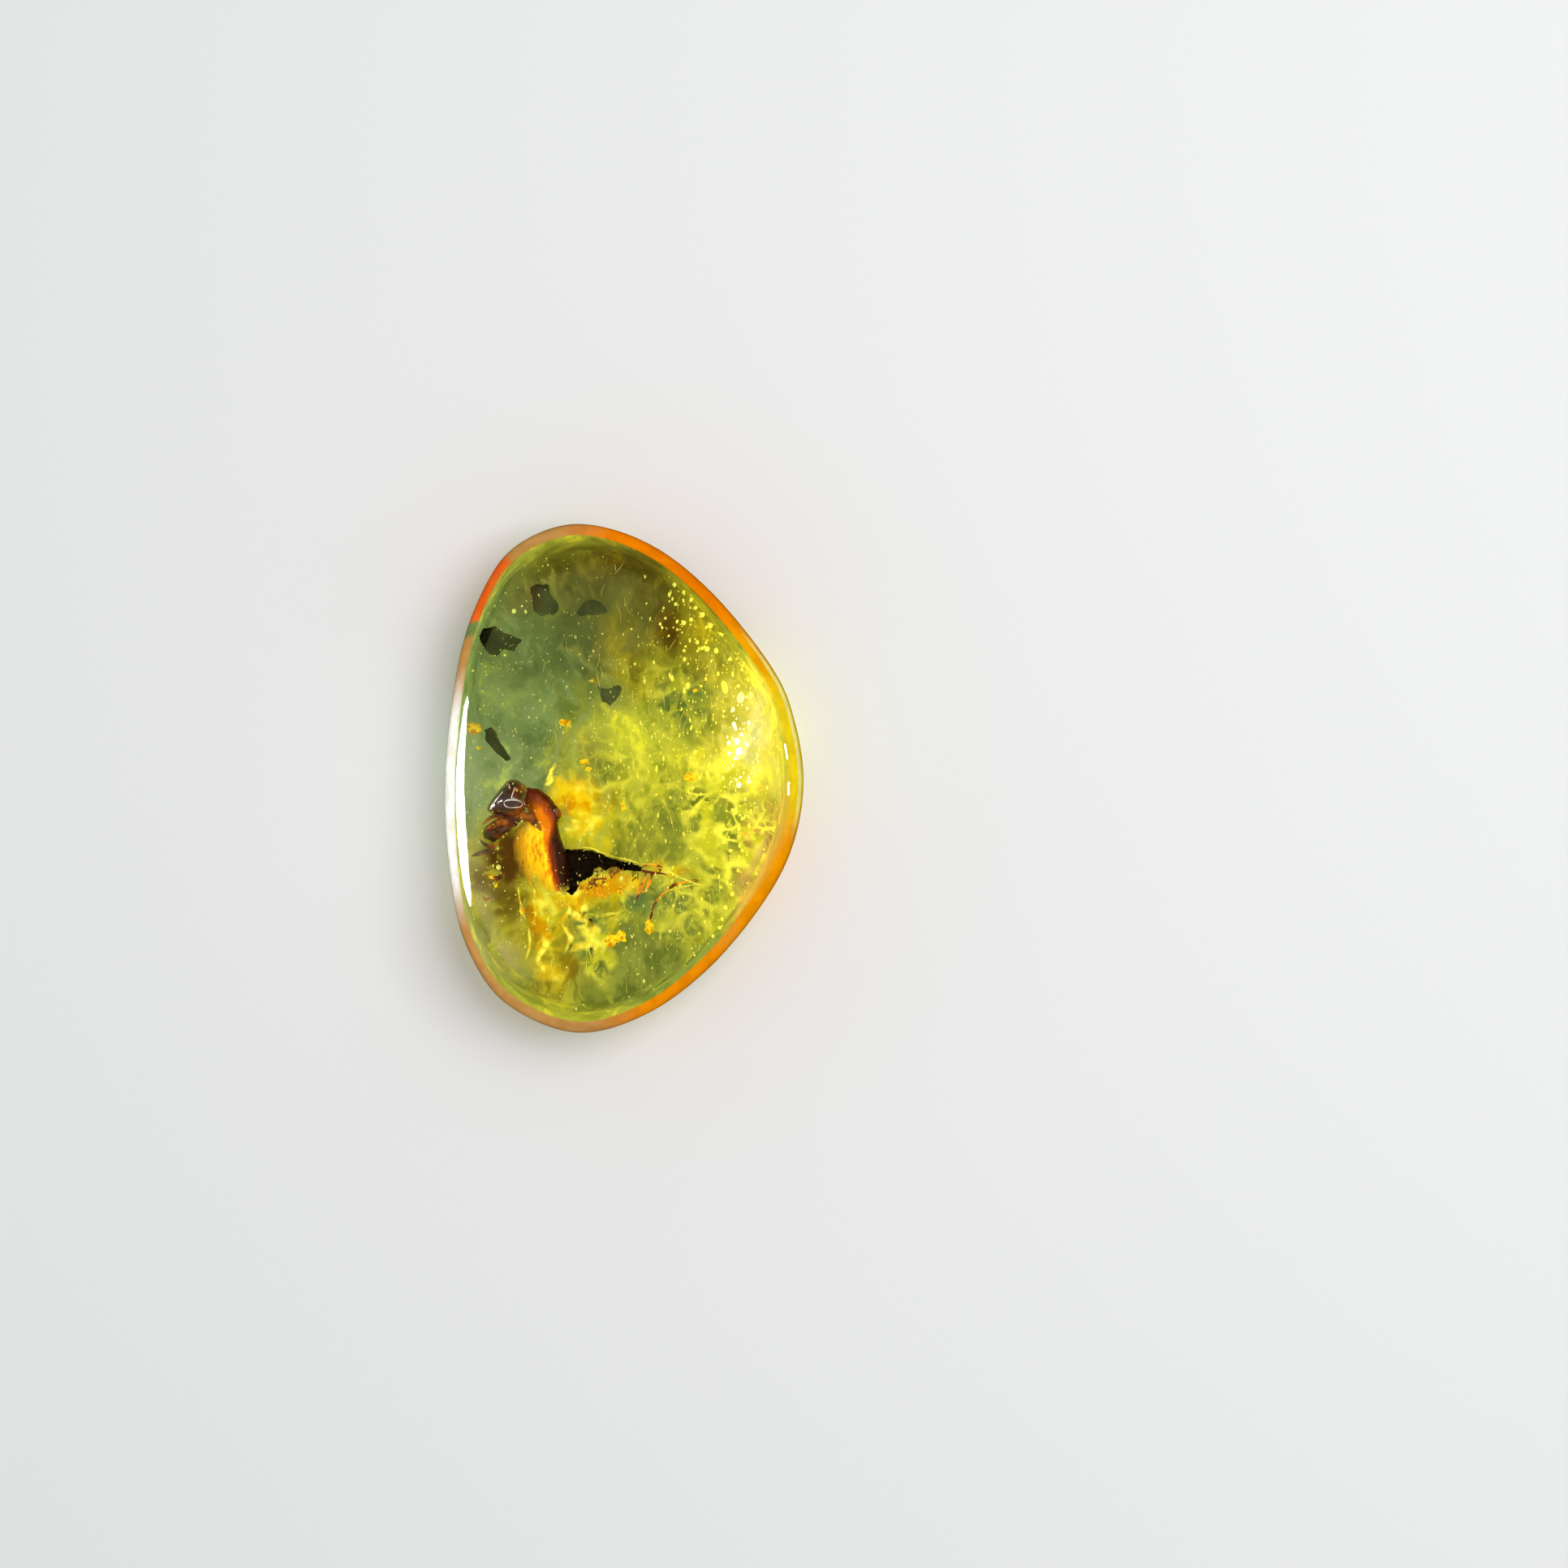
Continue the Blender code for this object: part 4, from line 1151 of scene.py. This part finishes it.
# %% The body: a thick strap with a thin skin beside it
# Each row, from the head down: the strap's outer edge, the crease between strap and skin, the skin's far
# edge, as the dome shows them, and the height of the strap's top
BODY_ROWS = [
    ((-5.67, -0.54), (-5.67, -1.59), (-5.71, -1.84), 4.85),
    ((-5.02, -0.66), (-5.34, -1.84), (-5.59, -2.04), 4.95),
    ((-4.49, -1.02), (-5.11, -2.24), (-5.75, -2.33), 4.95),
    ((-4.08, -1.55), (-4.85, -2.73), (-6.15, -2.81), 4.9),
    ((-3.78, -2.08), (-4.69, -3.14), (-6.44, -3.3), 4.85),
    ((-3.88, -2.73), (-4.63, -3.54), (-6.6, -3.79), 4.78),
    ((-3.72, -3.46), (-4.57, -4.11), (-6.56, -4.44), 4.7),
    ((-3.43, -4.28), (-4.49, -4.76), (-6.4, -5.09), 4.6),
    ((-3.31, -5.09), (-4.38, -5.5), (-6.2, -5.74), 4.5),
    ((-3.15, -5.9), (-4.22, -6.15), (-5.99, -6.39), 4.38),
    ((-2.98, -6.55), (-4.07, -6.63), (-5.79, -6.96), 4.25),
    ((-3.07, -7.0), (-3.8, -6.86), (-5.34, -7.28), 4.1),
]
# One section's corners: how far across, where 1 is the crease and 2 the far edge, and how deep under the top
BODY_SECTION = [
    (0.0, 0.55),
    (0.15, 0.12),
    (0.5, 0.0),
    (1.0, 0.22),
    (1.5, 0.3),
    (2.0, 0.5),
    (1.5, 0.62),
    (1.0, 0.85),
    (0.5, 1.05),
    (0.1, 0.85),
]


def body_section(row, steps):
    """One section through the body, from the strap's outer edge over its top and back underneath."""
    outer, crease, far = (Vector(p) for p in row[:3])
    corners = []
    for share, depth in BODY_SECTION:
        spot = outer.lerp(crease, share) if share <= 1 else crease.lerp(far, share - 1)
        corners.append(seen(spot.x, spot.y, row[3] - depth))
    return [spline_point(corners, i, k / steps, True) for i in range(len(corners)) for k in range(steps)]


def body_skin():
    recipe = Recipe("body_skin")
    across = recipe.attribute("across") * 2
    along = recipe.attribute("along")
    drawn = recipe.stretched(recipe.warp(recipe.place(), 0.8, 0.5), (2.4, 0.5, 1.0), 6)
    streak = recipe.noise(drawn, 1.5, 4.0, 0.62)
    shift = streak - 0.5
    ragged = across + shift * 0.5
    # the strap: orange at the crease, darker outwards, and far darker in its lower half and at the head
    strap = recipe.between(rgb(0.06, 0.008, 0.002), rgb(0.34, 0.05, 0.001), ragged, 0.12, 0.48)
    strap = recipe.between(strap, rgb(0.86, 0.23, 0.001), ragged, 0.42, 0.85)
    dark = recipe.between(rgb(0.022, 0.004, 0.002), rgb(0.22, 0.026, 0.001), ragged, 0.45, 0.85)
    dark = recipe.between(dark, rgb(0.92, 0.24, 0.001), ragged, 0.8, 1.02)
    strap = recipe.between(strap, dark, along, 0.42, 0.55)
    strap = recipe.mix(strap, rgb(0.09, 0.012, 0.003), recipe.ramp(along, 0.22, 0.02) * 0.9)
    # the skin: streaks of gold, brown under the head and towards its far edge, where it frays out
    gold = recipe.between(rgb(0.62, 0.26, 0.001), rgb(1.05, 0.66, 0.005), streak, 0.36, 0.54)
    gold = recipe.between(gold, rgb(1.25, 1.0, 0.1), streak, 0.56, 0.68)
    gold = recipe.between(gold, rgb(0.22, 0.06, 0.003), along + shift * 0.3, 0.34, 0.16)
    gold = recipe.between(gold, rgb(0.2, 0.105, 0.008), across + shift * 0.8, 1.45, 1.95)
    fade = recipe.ramp(across + shift, 2.2, 1.5)
    end = recipe.ramp(along + shift * 0.3 + recipe.ramp(across, 0.9, 1.5) * 0.2, 1.08, 0.8)
    return glowing(
        recipe,
        recipe.between(strap, gold, ragged, 0.95, 1.12),
        0.45,
        Roughness=recipe.ramp(streak, 0.3, 0.7, 0.2, 0.5),
        Specular_IOR_Level=0.2,
        Alpha=fade * end,
        Normal=recipe.bump(streak, 0.3, 0.0001),
    )


ROUND = 5
ALONG = 6
corner_across = [share / 2 for share, depth in BODY_SECTION]
across = [
    start + (end - start) * k / ROUND
    for start, end in zip(corner_across, corner_across[1:] + corner_across[:1])
    for k in range(ROUND)
]
sections = [body_section(row, ROUND) for row in BODY_ROWS]
rings = [
    [spline_point(line, i, k / ALONG, False) for line in zip(*sections)]
    for i in range(len(sections) - 1)
    for k in range(ALONG)
]
bm = bmesh.new()
add_rings(bm, rings + [sections[-1]], across)
bm.normal_update()
for vert in bm.verts:
    fold = noise.noise(Vector((vert.co.x * 2.4, vert.co.y * 0.6, 1.0)))
    vert.co += vert.normal * (0.07 * fold + 0.03 * noise.noise(vert.co * 3))
body = finished(bm, "husk_body_skin", body_skin())
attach(body, "root")
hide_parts("husk_body")

# %% The knob on the strap's outer edge
knob_colours = (rgb(0.03, 0.005, 0.003), rgb(0.2, 0.025, 0.003), 0.42, 0.66)
knob_shell = grained("knob_shell", *knob_colours, (2.0, 3.0), glow=0.3, Roughness=0.2, Coat_Weight=1.0)
bm = bmesh.new()
matrix = Matrix.Translation(seen(-3.98, -1.98, 4.72)) @ Matrix.Rotation(0.5, 4, "Z")
matrix = matrix @ Matrix.Diagonal((0.26, 0.46, 0.26, 1))
bmesh.ops.create_icosphere(bm, subdivisions=4, radius=1, matrix=matrix)
bm.normal_update()
for vert in bm.verts:
    vert.co += vert.normal * 0.06 * noise.noise(vert.co * 2.2)
knob = finished(bm, "husk_knob", knob_shell)
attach(knob, "root")


# %% The flap under the head
def flap_skin():
    recipe = Recipe("flap_skin")
    drawn = recipe.stretched(recipe.warp(recipe.place(), 1.0, 0.8), (0.8, 1.6, 1.0), 28)
    grain = recipe.noise(drawn, 0.9, 3.0, 0.55)
    colour = recipe.between(rgb(0.03, 0.006, 0.004), rgb(0.3, 0.06, 0.005), grain, 0.46, 0.72)
    dull = recipe.ramp(grain, 0.3, 0.7, 0.2, 0.5)
    creases = recipe.bump(grain, 0.4, 0.0001)
    return glowing(recipe, colour, 0.25, Roughness=dull, Coat_Weight=0.5, Normal=creases)


bm = solid_of("husk_flap")
roughen(bm, 0.08, [(1.6, 0.16), (4.5, 0.05)], 2.0)
flap = finished(bm, "husk_flap_skin", flap_skin())
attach(flap, "root")
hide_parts("husk_flap")

# %% Shreds of the husk: the drape over the top of the skin, and torn films at its left
def shred_film():
    recipe = Recipe("shred_film")
    grain = recipe.noise(recipe.warp(recipe.place(), 1.0, 0.8), 1.3, 3.0)
    colour = recipe.between(rgb(0.055, 0.012, 0.004), rgb(0.42, 0.115, 0.006), grain, 0.4, 0.62)
    edge = recipe.ramp(abs(recipe.attribute("across") + (grain - 0.5) * 0.6 - 0.5), 0.52, 0.22)
    return glowing(recipe, colour, 0.35, Roughness=0.4, Specular_IOR_Level=0.3, Alpha=edge * 0.9)


# Each shred: points as they show, a radius for each, and the heights of its two ends
SHRED_GIRTH = 1.4
SHREDS = [
    (
        [(-8.2, -3.15), (-7.46, -2.72), (-6.61, -2.45), (-5.77, -2.25), (-5.23, -2.62), (-4.85, -3.11)],
        [0.06, 0.2, 0.26, 0.22, 0.17, 0.05],
        (4.7, 5.0),
    ),
    ([(-8.35, -2.75), (-7.8, -2.3), (-7.1, -2.2), (-6.4, -2.15)], [0.05, 0.12, 0.16, 0.08], (4.6, 4.7)),
    (
        [(-9.1, -4.66), (-8.63, -4.49), (-8.0, -4.28), (-7.46, -3.85)],
        [0.03, 0.14, 0.15, 0.04],
        (4.3, 4.4),
    ),
    ([(-8.6, -3.6), (-8.2, -3.95), (-7.6, -4.1)], [0.03, 0.12, 0.04], (4.3, 4.4)),
    ([(-8.1, -5.8), (-7.6, -5.98), (-7.05, -5.66)], [0.03, 0.12, 0.04], (4.1, 4.1)),
    ([(-8.4, -7.05), (-8.2, -7.25), (-7.95, -7.1)], [0.02, 0.09, 0.02], (4.0, 4.0)),
]
bm = bmesh.new()
for points, radius, height in SHREDS:
    wide = [SHRED_GIRTH * r for r in radius]
    add_tube(bm, seen_path(points, height), wide, sides=12, steps=8, flat=0.35)
bm.normal_update()
for vert in bm.verts:
    vert.co += vert.normal * 0.07 * noise.noise(vert.co * 2)
shreds = finished(bm, "husk_shreds", shred_film())
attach(shreds, "root")

# %% [markdown]
# ## Bark, fibres and crumbs
#
# The black splinter is a sliver of bark with a torn lower edge, from which orange fibres still hang. Two
# longer fibres lie at its tip. The crumbs are wood dust: their solids are roughened until they look torn,
# not round.


# %% The bark
def bark_wood():
    recipe = Recipe("bark_wood")
    grain = recipe.noise(recipe.stretched(recipe.place(), (0.7, 3.0, 1.5), -20), 2.2, 5.0, 0.65)
    colour = recipe.between(rgb(0.006, 0.003, 0.002), rgb(0.05, 0.016, 0.004), grain, 0.52, 0.75)
    fissures = recipe.bump(grain, 0.6, 0.00015)
    return glowing(recipe, colour, 0.0, Roughness=0.65, Specular_IOR_Level=0.1, Normal=fissures)


bm = solid_of("bark_splinter")
roughen(bm, 0.06, [(1.5, 0.06), (4.0, 0.08), (9.0, 0.06)], 4.0)
splinter = finished(bm, "bark_sliver", bark_wood())
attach(splinter, "root")
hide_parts("bark_splinter")

# %% The crumbs
dust_colours = (rgb(0.009, 0.009, 0.005), rgb(0.07, 0.05, 0.014), 0.45, 0.75)
dust_looks = {"relief": (0.3, 0.0001), "Roughness": 0.8, "Specular_IOR_Level": 0.1}
dust = grained("crumb_dust", *dust_colours, (2.6, 5.0, 0.65), **dust_looks)
for number, node in enumerate(["crumb_upper", "crumb_arched", "crumb_left", "crumb_middle", "wood_sliver"]):
    bm = solid_of(node)
    roughen(bm, 0.07, [(1.6, 0.09), (4.0, 0.06), (9.0, 0.02)], 10.0 + number)
    crumb = finished(bm, node + "_torn", dust)
    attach(crumb, "root")
    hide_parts(node)

# %% The fibres, with their side branches
fibre_colours = (rgb(0.13, 0.015, 0.002), rgb(1.05, 0.42, 0.006), 0.42, 0.58)
fibre = grained("fibre_skin", *fibre_colours, (1.0, 3.0), glow=0.45, Roughness=0.45)
LOOP_STRANDS = [
    ([(1.08, -5.35), (1.28, -5.21), (1.57, -5.12), (1.87, -5.15), (2.12, -5.33), (2.2, -5.54)], 0.055),
    (
        [(1.1, -5.5), (1.49, -5.58), (1.81, -5.64), (2.22, -5.66), (2.66, -5.77)],
        [0.1, 0.08, 0.08, 0.06, 0.015],
    ),
    ([(1.85, -5.3), (2.05, -5.18), (2.28, -5.34), (2.14, -5.6)], 0.04),
    ([(1.75, -5.62), (1.62, -5.98), (1.5, -6.31), (1.34, -6.66)], [0.07, 0.1, 0.11, 0.03]),
    (
        [(1.36, -5.62), (1.22, -6.07), (1.05, -6.47), (0.93, -6.8), (0.8, -7.32)],
        [0.05, 0.09, 0.12, 0.1, 0.02],
    ),
    ([(1.05, -6.6), (1.18, -6.8), (1.36, -6.62)], 0.03),
]
LONG_STRANDS = [
    ([(4.5, -6.09), (4.17, -6.05), (3.89, -6.16), (3.52, -6.21)], [0.02, 0.05, 0.03, 0.05]),
    (
        [(3.52, -6.21), (3.24, -6.29), (2.95, -6.42), (2.75, -6.57), (2.5, -6.8)],
        [0.04, 0.07, 0.1, 0.07, 0.03],
    ),
    ([(2.54, -6.76), (2.3, -6.96), (2.06, -7.24), (1.88, -7.49), (1.75, -7.77), (1.72, -8.02)], 0.05),
    ([(1.73, -7.98), (1.68, -8.18), (1.57, -8.46)], 0.065),
    ([(4.32, -6.02), (4.22, -6.2)], 0.03),
]
for name, strands, node in (
    ("looped_fibres", LOOP_STRANDS, "looped_fibre"),
    ("long_fibres", LONG_STRANDS, "long_fibre"),
):
    bm = bmesh.new()
    for points, radius in strands:
        add_tube(bm, seen_path(points, (3.92, 3.8)), radius, sides=8, steps=5, taper=0.35)
    piece = finished(bm, name, fibre)
    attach(piece, "root")
    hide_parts(node)

# %% The torn fringe under the bark
FRINGE_COUNT = 70
FRINGE = [
    (-1.52, -5.58),
    (-1.11, -5.9),
    (-0.46, -5.42),
    (-2.17, -6.2),
    (-1.68, -6.45),
    (-1.44, -6.74),
    (-2.45, -6.3),
    (0.7, -5.66),
    (-0.75, -5.4),
    (-1.75, -5.95),
]
bm = bmesh.new()
for _ in range(FRINGE_COUNT):
    x, y = dice.choice(FRINGE)
    start = seen(x + dice.gauss(0, 0.16), y + dice.gauss(0, 0.12), dice.uniform(3.7, 4.2))
    angle = math.radians(dice.gauss(-90, 50))
    way = Vector((math.cos(angle), math.sin(angle), 0)) * dice.uniform(0.18, 0.55)
    bend = Vector((dice.gauss(0, 0.15), dice.gauss(0, 0.1), 0)) * way.length
    add_tube(bm, [start, start + way * 0.5 + bend, start + way], dice.uniform(0.018, 0.05), sides=5)
fringe = finished(bm, "bark_fringe", fibre)
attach(fringe, "root")

# %% [markdown]
# ## Folds and ribbons
#
# Flow layers in the resin show as yellow ribbons that twist down the stone below the husk. Each ribbon is a
# flattened tube, which is bright along its middle, fades towards its edges and ends, and breaks up here and
# there. The net of creases at the lower right is finer still, and lies in the middle veil.

# %% The ribbons
# Each ribbon: points as they show, a radius, or one for each point, and its height
RIBBON_GIRTH = 1.6
RIBBONS = [
    # the zigzag below the splinter
    (
        [(-3.63, -7.12), (-2.9, -7.37), (-2.5, -7.77), (-2.9, -8.1), (-2.35, -8.42), (-1.85, -8.75)],
        0.26, 3.6,
    ),
    (
        [(-2.35, -8.42), (-1.78, -8.8), (-1.76, -9.32), (-2.17, -9.89), (-2.85, -10.1), (-3.3, -10.5)],
        0.24, 3.4,
    ),
    ([(-3.0, -8.9), (-2.3, -9.0), (-1.9, -9.6), (-1.6, -10.4), (-1.9, -11.2)], 0.2, 3.2),
    ([(-3.4, -7.0), (-3.2, -7.8), (-3.6, -8.6), (-3.2, -9.6), (-3.7, -10.6)], 0.14, 3.5),
    # golden streaks under the husk
    ([(-6.3, -6.4), (-6.15, -7.3), (-5.95, -8.2)], 0.05, 3.9),
    ([(-5.7, -5.9), (-5.3, -6.7), (-5.2, -7.4)], 0.08, 4.0),
    ([(-5.35, -7.1), (-5.25, -8.2), (-5.45, -8.7)], 0.06, 3.8),
    ([(-4.95, -6.8), (-4.9, -7.1)], 0.09, 4.0),
    ([(-4.4, -8.0), (-4.55, -8.6)], 0.05, 3.8),
    ([(-5.7, -8.8), (-5.6, -10.0), (-5.9, -10.9)], 0.07, 3.6),
    ([(-4.9, -9.0), (-4.7, -9.9), (-5.1, -10.8), (-4.6, -11.8)], 0.16, 3.4),
    # the flame above the gold cloud, and the folds right of it
    ([(-4.28, 0.45), (-4.25, 0.2), (-4.35, -0.2), (-4.75, -0.4)], [0.03, 0.1, 0.14, 0.05], 4.3),
    ([(-3.6, -2.9), (-3.0, -3.3), (-2.3, -3.2), (-1.7, -2.75)], 0.16, 4.0),
    ([(-3.2, -2.4), (-2.5, -2.7), (-1.9, -2.3)], 0.12, 4.0),
    # the golden edge above the splinter
    ([(-3.3, -4.1), (-2.0, -4.15), (-0.9, -4.55), (0.3, -4.85), (1.2, -5.1), (2.2, -5.05)], 0.035, 4.3),
    ([(1.6, -5.2), (2.6, -5.5), (3.6, -6.0), (4.6, -6.35), (5.4, -6.2)], 0.035, 3.9),
    ([(2.4, -6.9), (3.0, -6.6), (3.9, -6.4), (4.9, -6.2)], 0.03, 3.8),
]


def fold_film():
    recipe = Recipe("fold_film")
    point = recipe.place()
    grain = recipe.noise(recipe.warp(point, 1.0, 0.6), 1.6, 3.0)
    colour = recipe.between(rgb(0.8, 0.74, 0.02), rgb(1.3, 1.22, 0.14), grain, 0.38, 0.58)
    gold = recipe.patch(point, seen(-4.2, -7.4, 3.8).xy, (3.2, 4.6), 0, 0.4)
    colour = recipe.mix(colour, rgb(1.0, 0.62, 0.01), gold * recipe.ramp(grain, 0.62, 0.4) * 0.8)
    fold = recipe.ramp(abs(recipe.attribute("across") + (grain - 0.5) * 0.8 - 0.5), 0.46, 0.0)
    ends = recipe.ramp(abs(recipe.attribute("along") - 0.5), 0.5, 0.2)
    return cloudy(recipe, colour, fold * ends * recipe.ramp(grain, 0.28, 0.55, 0.15, 0.85))


bm = bmesh.new()
for points, radius, height in RIBBONS:
    wide = [RIBBON_GIRTH * r for r in radius] if isinstance(radius, list) else RIBBON_GIRTH * radius
    add_tube(bm, seen_path(points, height), wide, sides=10, steps=6, flat=0.14, taper=0.2)
ribbons = finished(bm, "fold_ribbons", fold_film())
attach(ribbons, "root")
ribbons.visible_shadow = False

# %% Gold flakes
gold_colours = (rgb(0.62, 0.26, 0.001), rgb(1.05, 0.8, 0.02), 0.38, 0.56)
gold_looks = {"glow": 0.4, "relief": (0.5, 0.0001), "Roughness": 0.5, "Specular_IOR_Level": 0.1}
crust = grained("gold_crust", *gold_colours, (3.2, 4.0, 0.6), **gold_looks)
for number, node in enumerate(["gold_drop", "gold_flake"]):
    bm = solid_of(node)
    roughen(bm, 0.06, [(2.0, 0.1), (5.0, 0.1), (10.0, 0.05)], 20.0 + number)
    piece = finished(bm, node + "_crust", crust)
    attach(piece, "root")
    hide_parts(node)

# Places as the dome shows them, and half sizes, of specks too small for solids of their own
GOLD_SPECKS = [
    (-8.61, 1.8, 0.16, 0.12),
    (-2.32, 0.97, 0.26, 0.18),
    (3.95, 0.05, 0.34, 0.26),
    (0.0, -1.65, 0.1, 0.36),
    (1.57, -8.86, 0.24, 0.44),
    (-0.22, -6.65, 0.12, 0.3),
    (-3.49, 3.32, 0.3, 0.2),
    (-2.05, 0.55, 0.14, 0.1),
    (-7.9, -5.9, 0.12, 0.1),
    (-7.6, -6.4, 0.1, 0.14),
    (4.3, 5.2, 0.12, 0.1),
    (-1.9, 5.8, 0.1, 0.08),
    (-6.0, -7.9, 0.14, 0.2),
]
bm = bmesh.new()
for x, y, half_x, half_y in GOLD_SPECKS:
    matrix = Matrix.Translation(seen(x, y)) @ Matrix.Diagonal((half_x, half_y, min(half_x, half_y), 1))
    bmesh.ops.create_icosphere(bm, subdivisions=4, radius=1, matrix=matrix)
bm.normal_update()
for vert in bm.verts:
    vert.co += vert.normal * (0.1 * noise.noise(vert.co * 4) + 0.05 * noise.noise(vert.co * 11))
specks = finished(bm, "gold_specks", crust)
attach(specks, "root")

# %% [markdown]
# ## The stage
#
# A plain pale floor, and the soft light of a studio: a broad box above at the right, a low strip at the left
# whose mirror image, joined by a painted white patch on the rim, is the white streak on the left flank, two
# small boxes whose images are the sparks at the right, and an even sky. Floor and sky don't show in the
# polish, where they would lay a white veil over the stone's colours. The camera looks straight down on the
# stone, as the stone is seen from its front.

# %% Floor
FLOOR_REACH = 1500
recipe = Recipe("floor_paint")
floor_paint = recipe.done(recipe.principled(Base_Color=rgb(0.8, 0.8, 0.79), Roughness=0.7))
bm = bmesh.new()
bmesh.ops.create_grid(bm, x_segments=1, y_segments=1, size=FLOOR_REACH)
floor = finished(bm, "floor", floor_paint, smooth=False)
floor.visible_glossy = False


# %% Lamps and sky
def softbox(name, place, target, size, power, shape="RECTANGLE"):
    lamp = bpy.data.lights.new(name, "AREA")
    lamp.shape = shape
    lamp.size = size[0] * MM
    lamp.size_y = size[1] * MM
    lamp.energy = power
    holder = bpy.data.objects.new(name, lamp)
    holder.location = Vector(place) * MM
    aim = Vector(target) - Vector(place)
    holder.rotation_euler = aim.to_track_quat("-Z", "Y").to_euler()
    bpy.context.scene.collection.objects.link(holder)
    return holder


key_box = softbox("key_box", (130, 60, 260), (0, 0, 0), (200, 200), 0.5)
key_box.visible_glossy = False
left_strip = softbox("left_strip", (-150, -6, 30), (0, -6, 4), (70, 60), 0.28, "ELLIPSE")
left_strip.visible_diffuse = False
for number, y in enumerate((20, -4)):
    right_spark = softbox(f"right_spark_{number}", (120, y, 16), (0, y * 0.5, 4), (9, 9), 0.015)
    right_spark.visible_diffuse = False
world = bpy.data.worlds.new("studio_sky")
world.use_nodes = True
sky = world.node_tree.nodes["Background"].inputs
sky["Color"].default_value = rgb(0.96, 0.98, 1.0)
sky["Strength"].default_value = 0.62
bpy.context.scene.world = world
world.cycles_visibility.glossy = False
bpy.context.scene.view_settings.view_transform = "Standard"

# %% Camera
# The width that the frame shows at the girdle's height, and the point above which the camera stands
FRAME_WIDTH = 94.2
FRAME_CENTRE = (9.585, -0.34)
lens = bpy.data.cameras.new("camera")
lens.lens = 100
lens.sensor_width = 36
lens.clip_start = 0.01
lens.clip_end = 10
camera = bpy.data.objects.new("camera", lens)
distance = FRAME_WIDTH * lens.lens / lens.sensor_width
camera.location = Vector((*FRAME_CENTRE, GIRDLE_HEIGHT + distance)) * MM
bpy.context.scene.collection.objects.link(camera)
bpy.context.scene.camera = camera
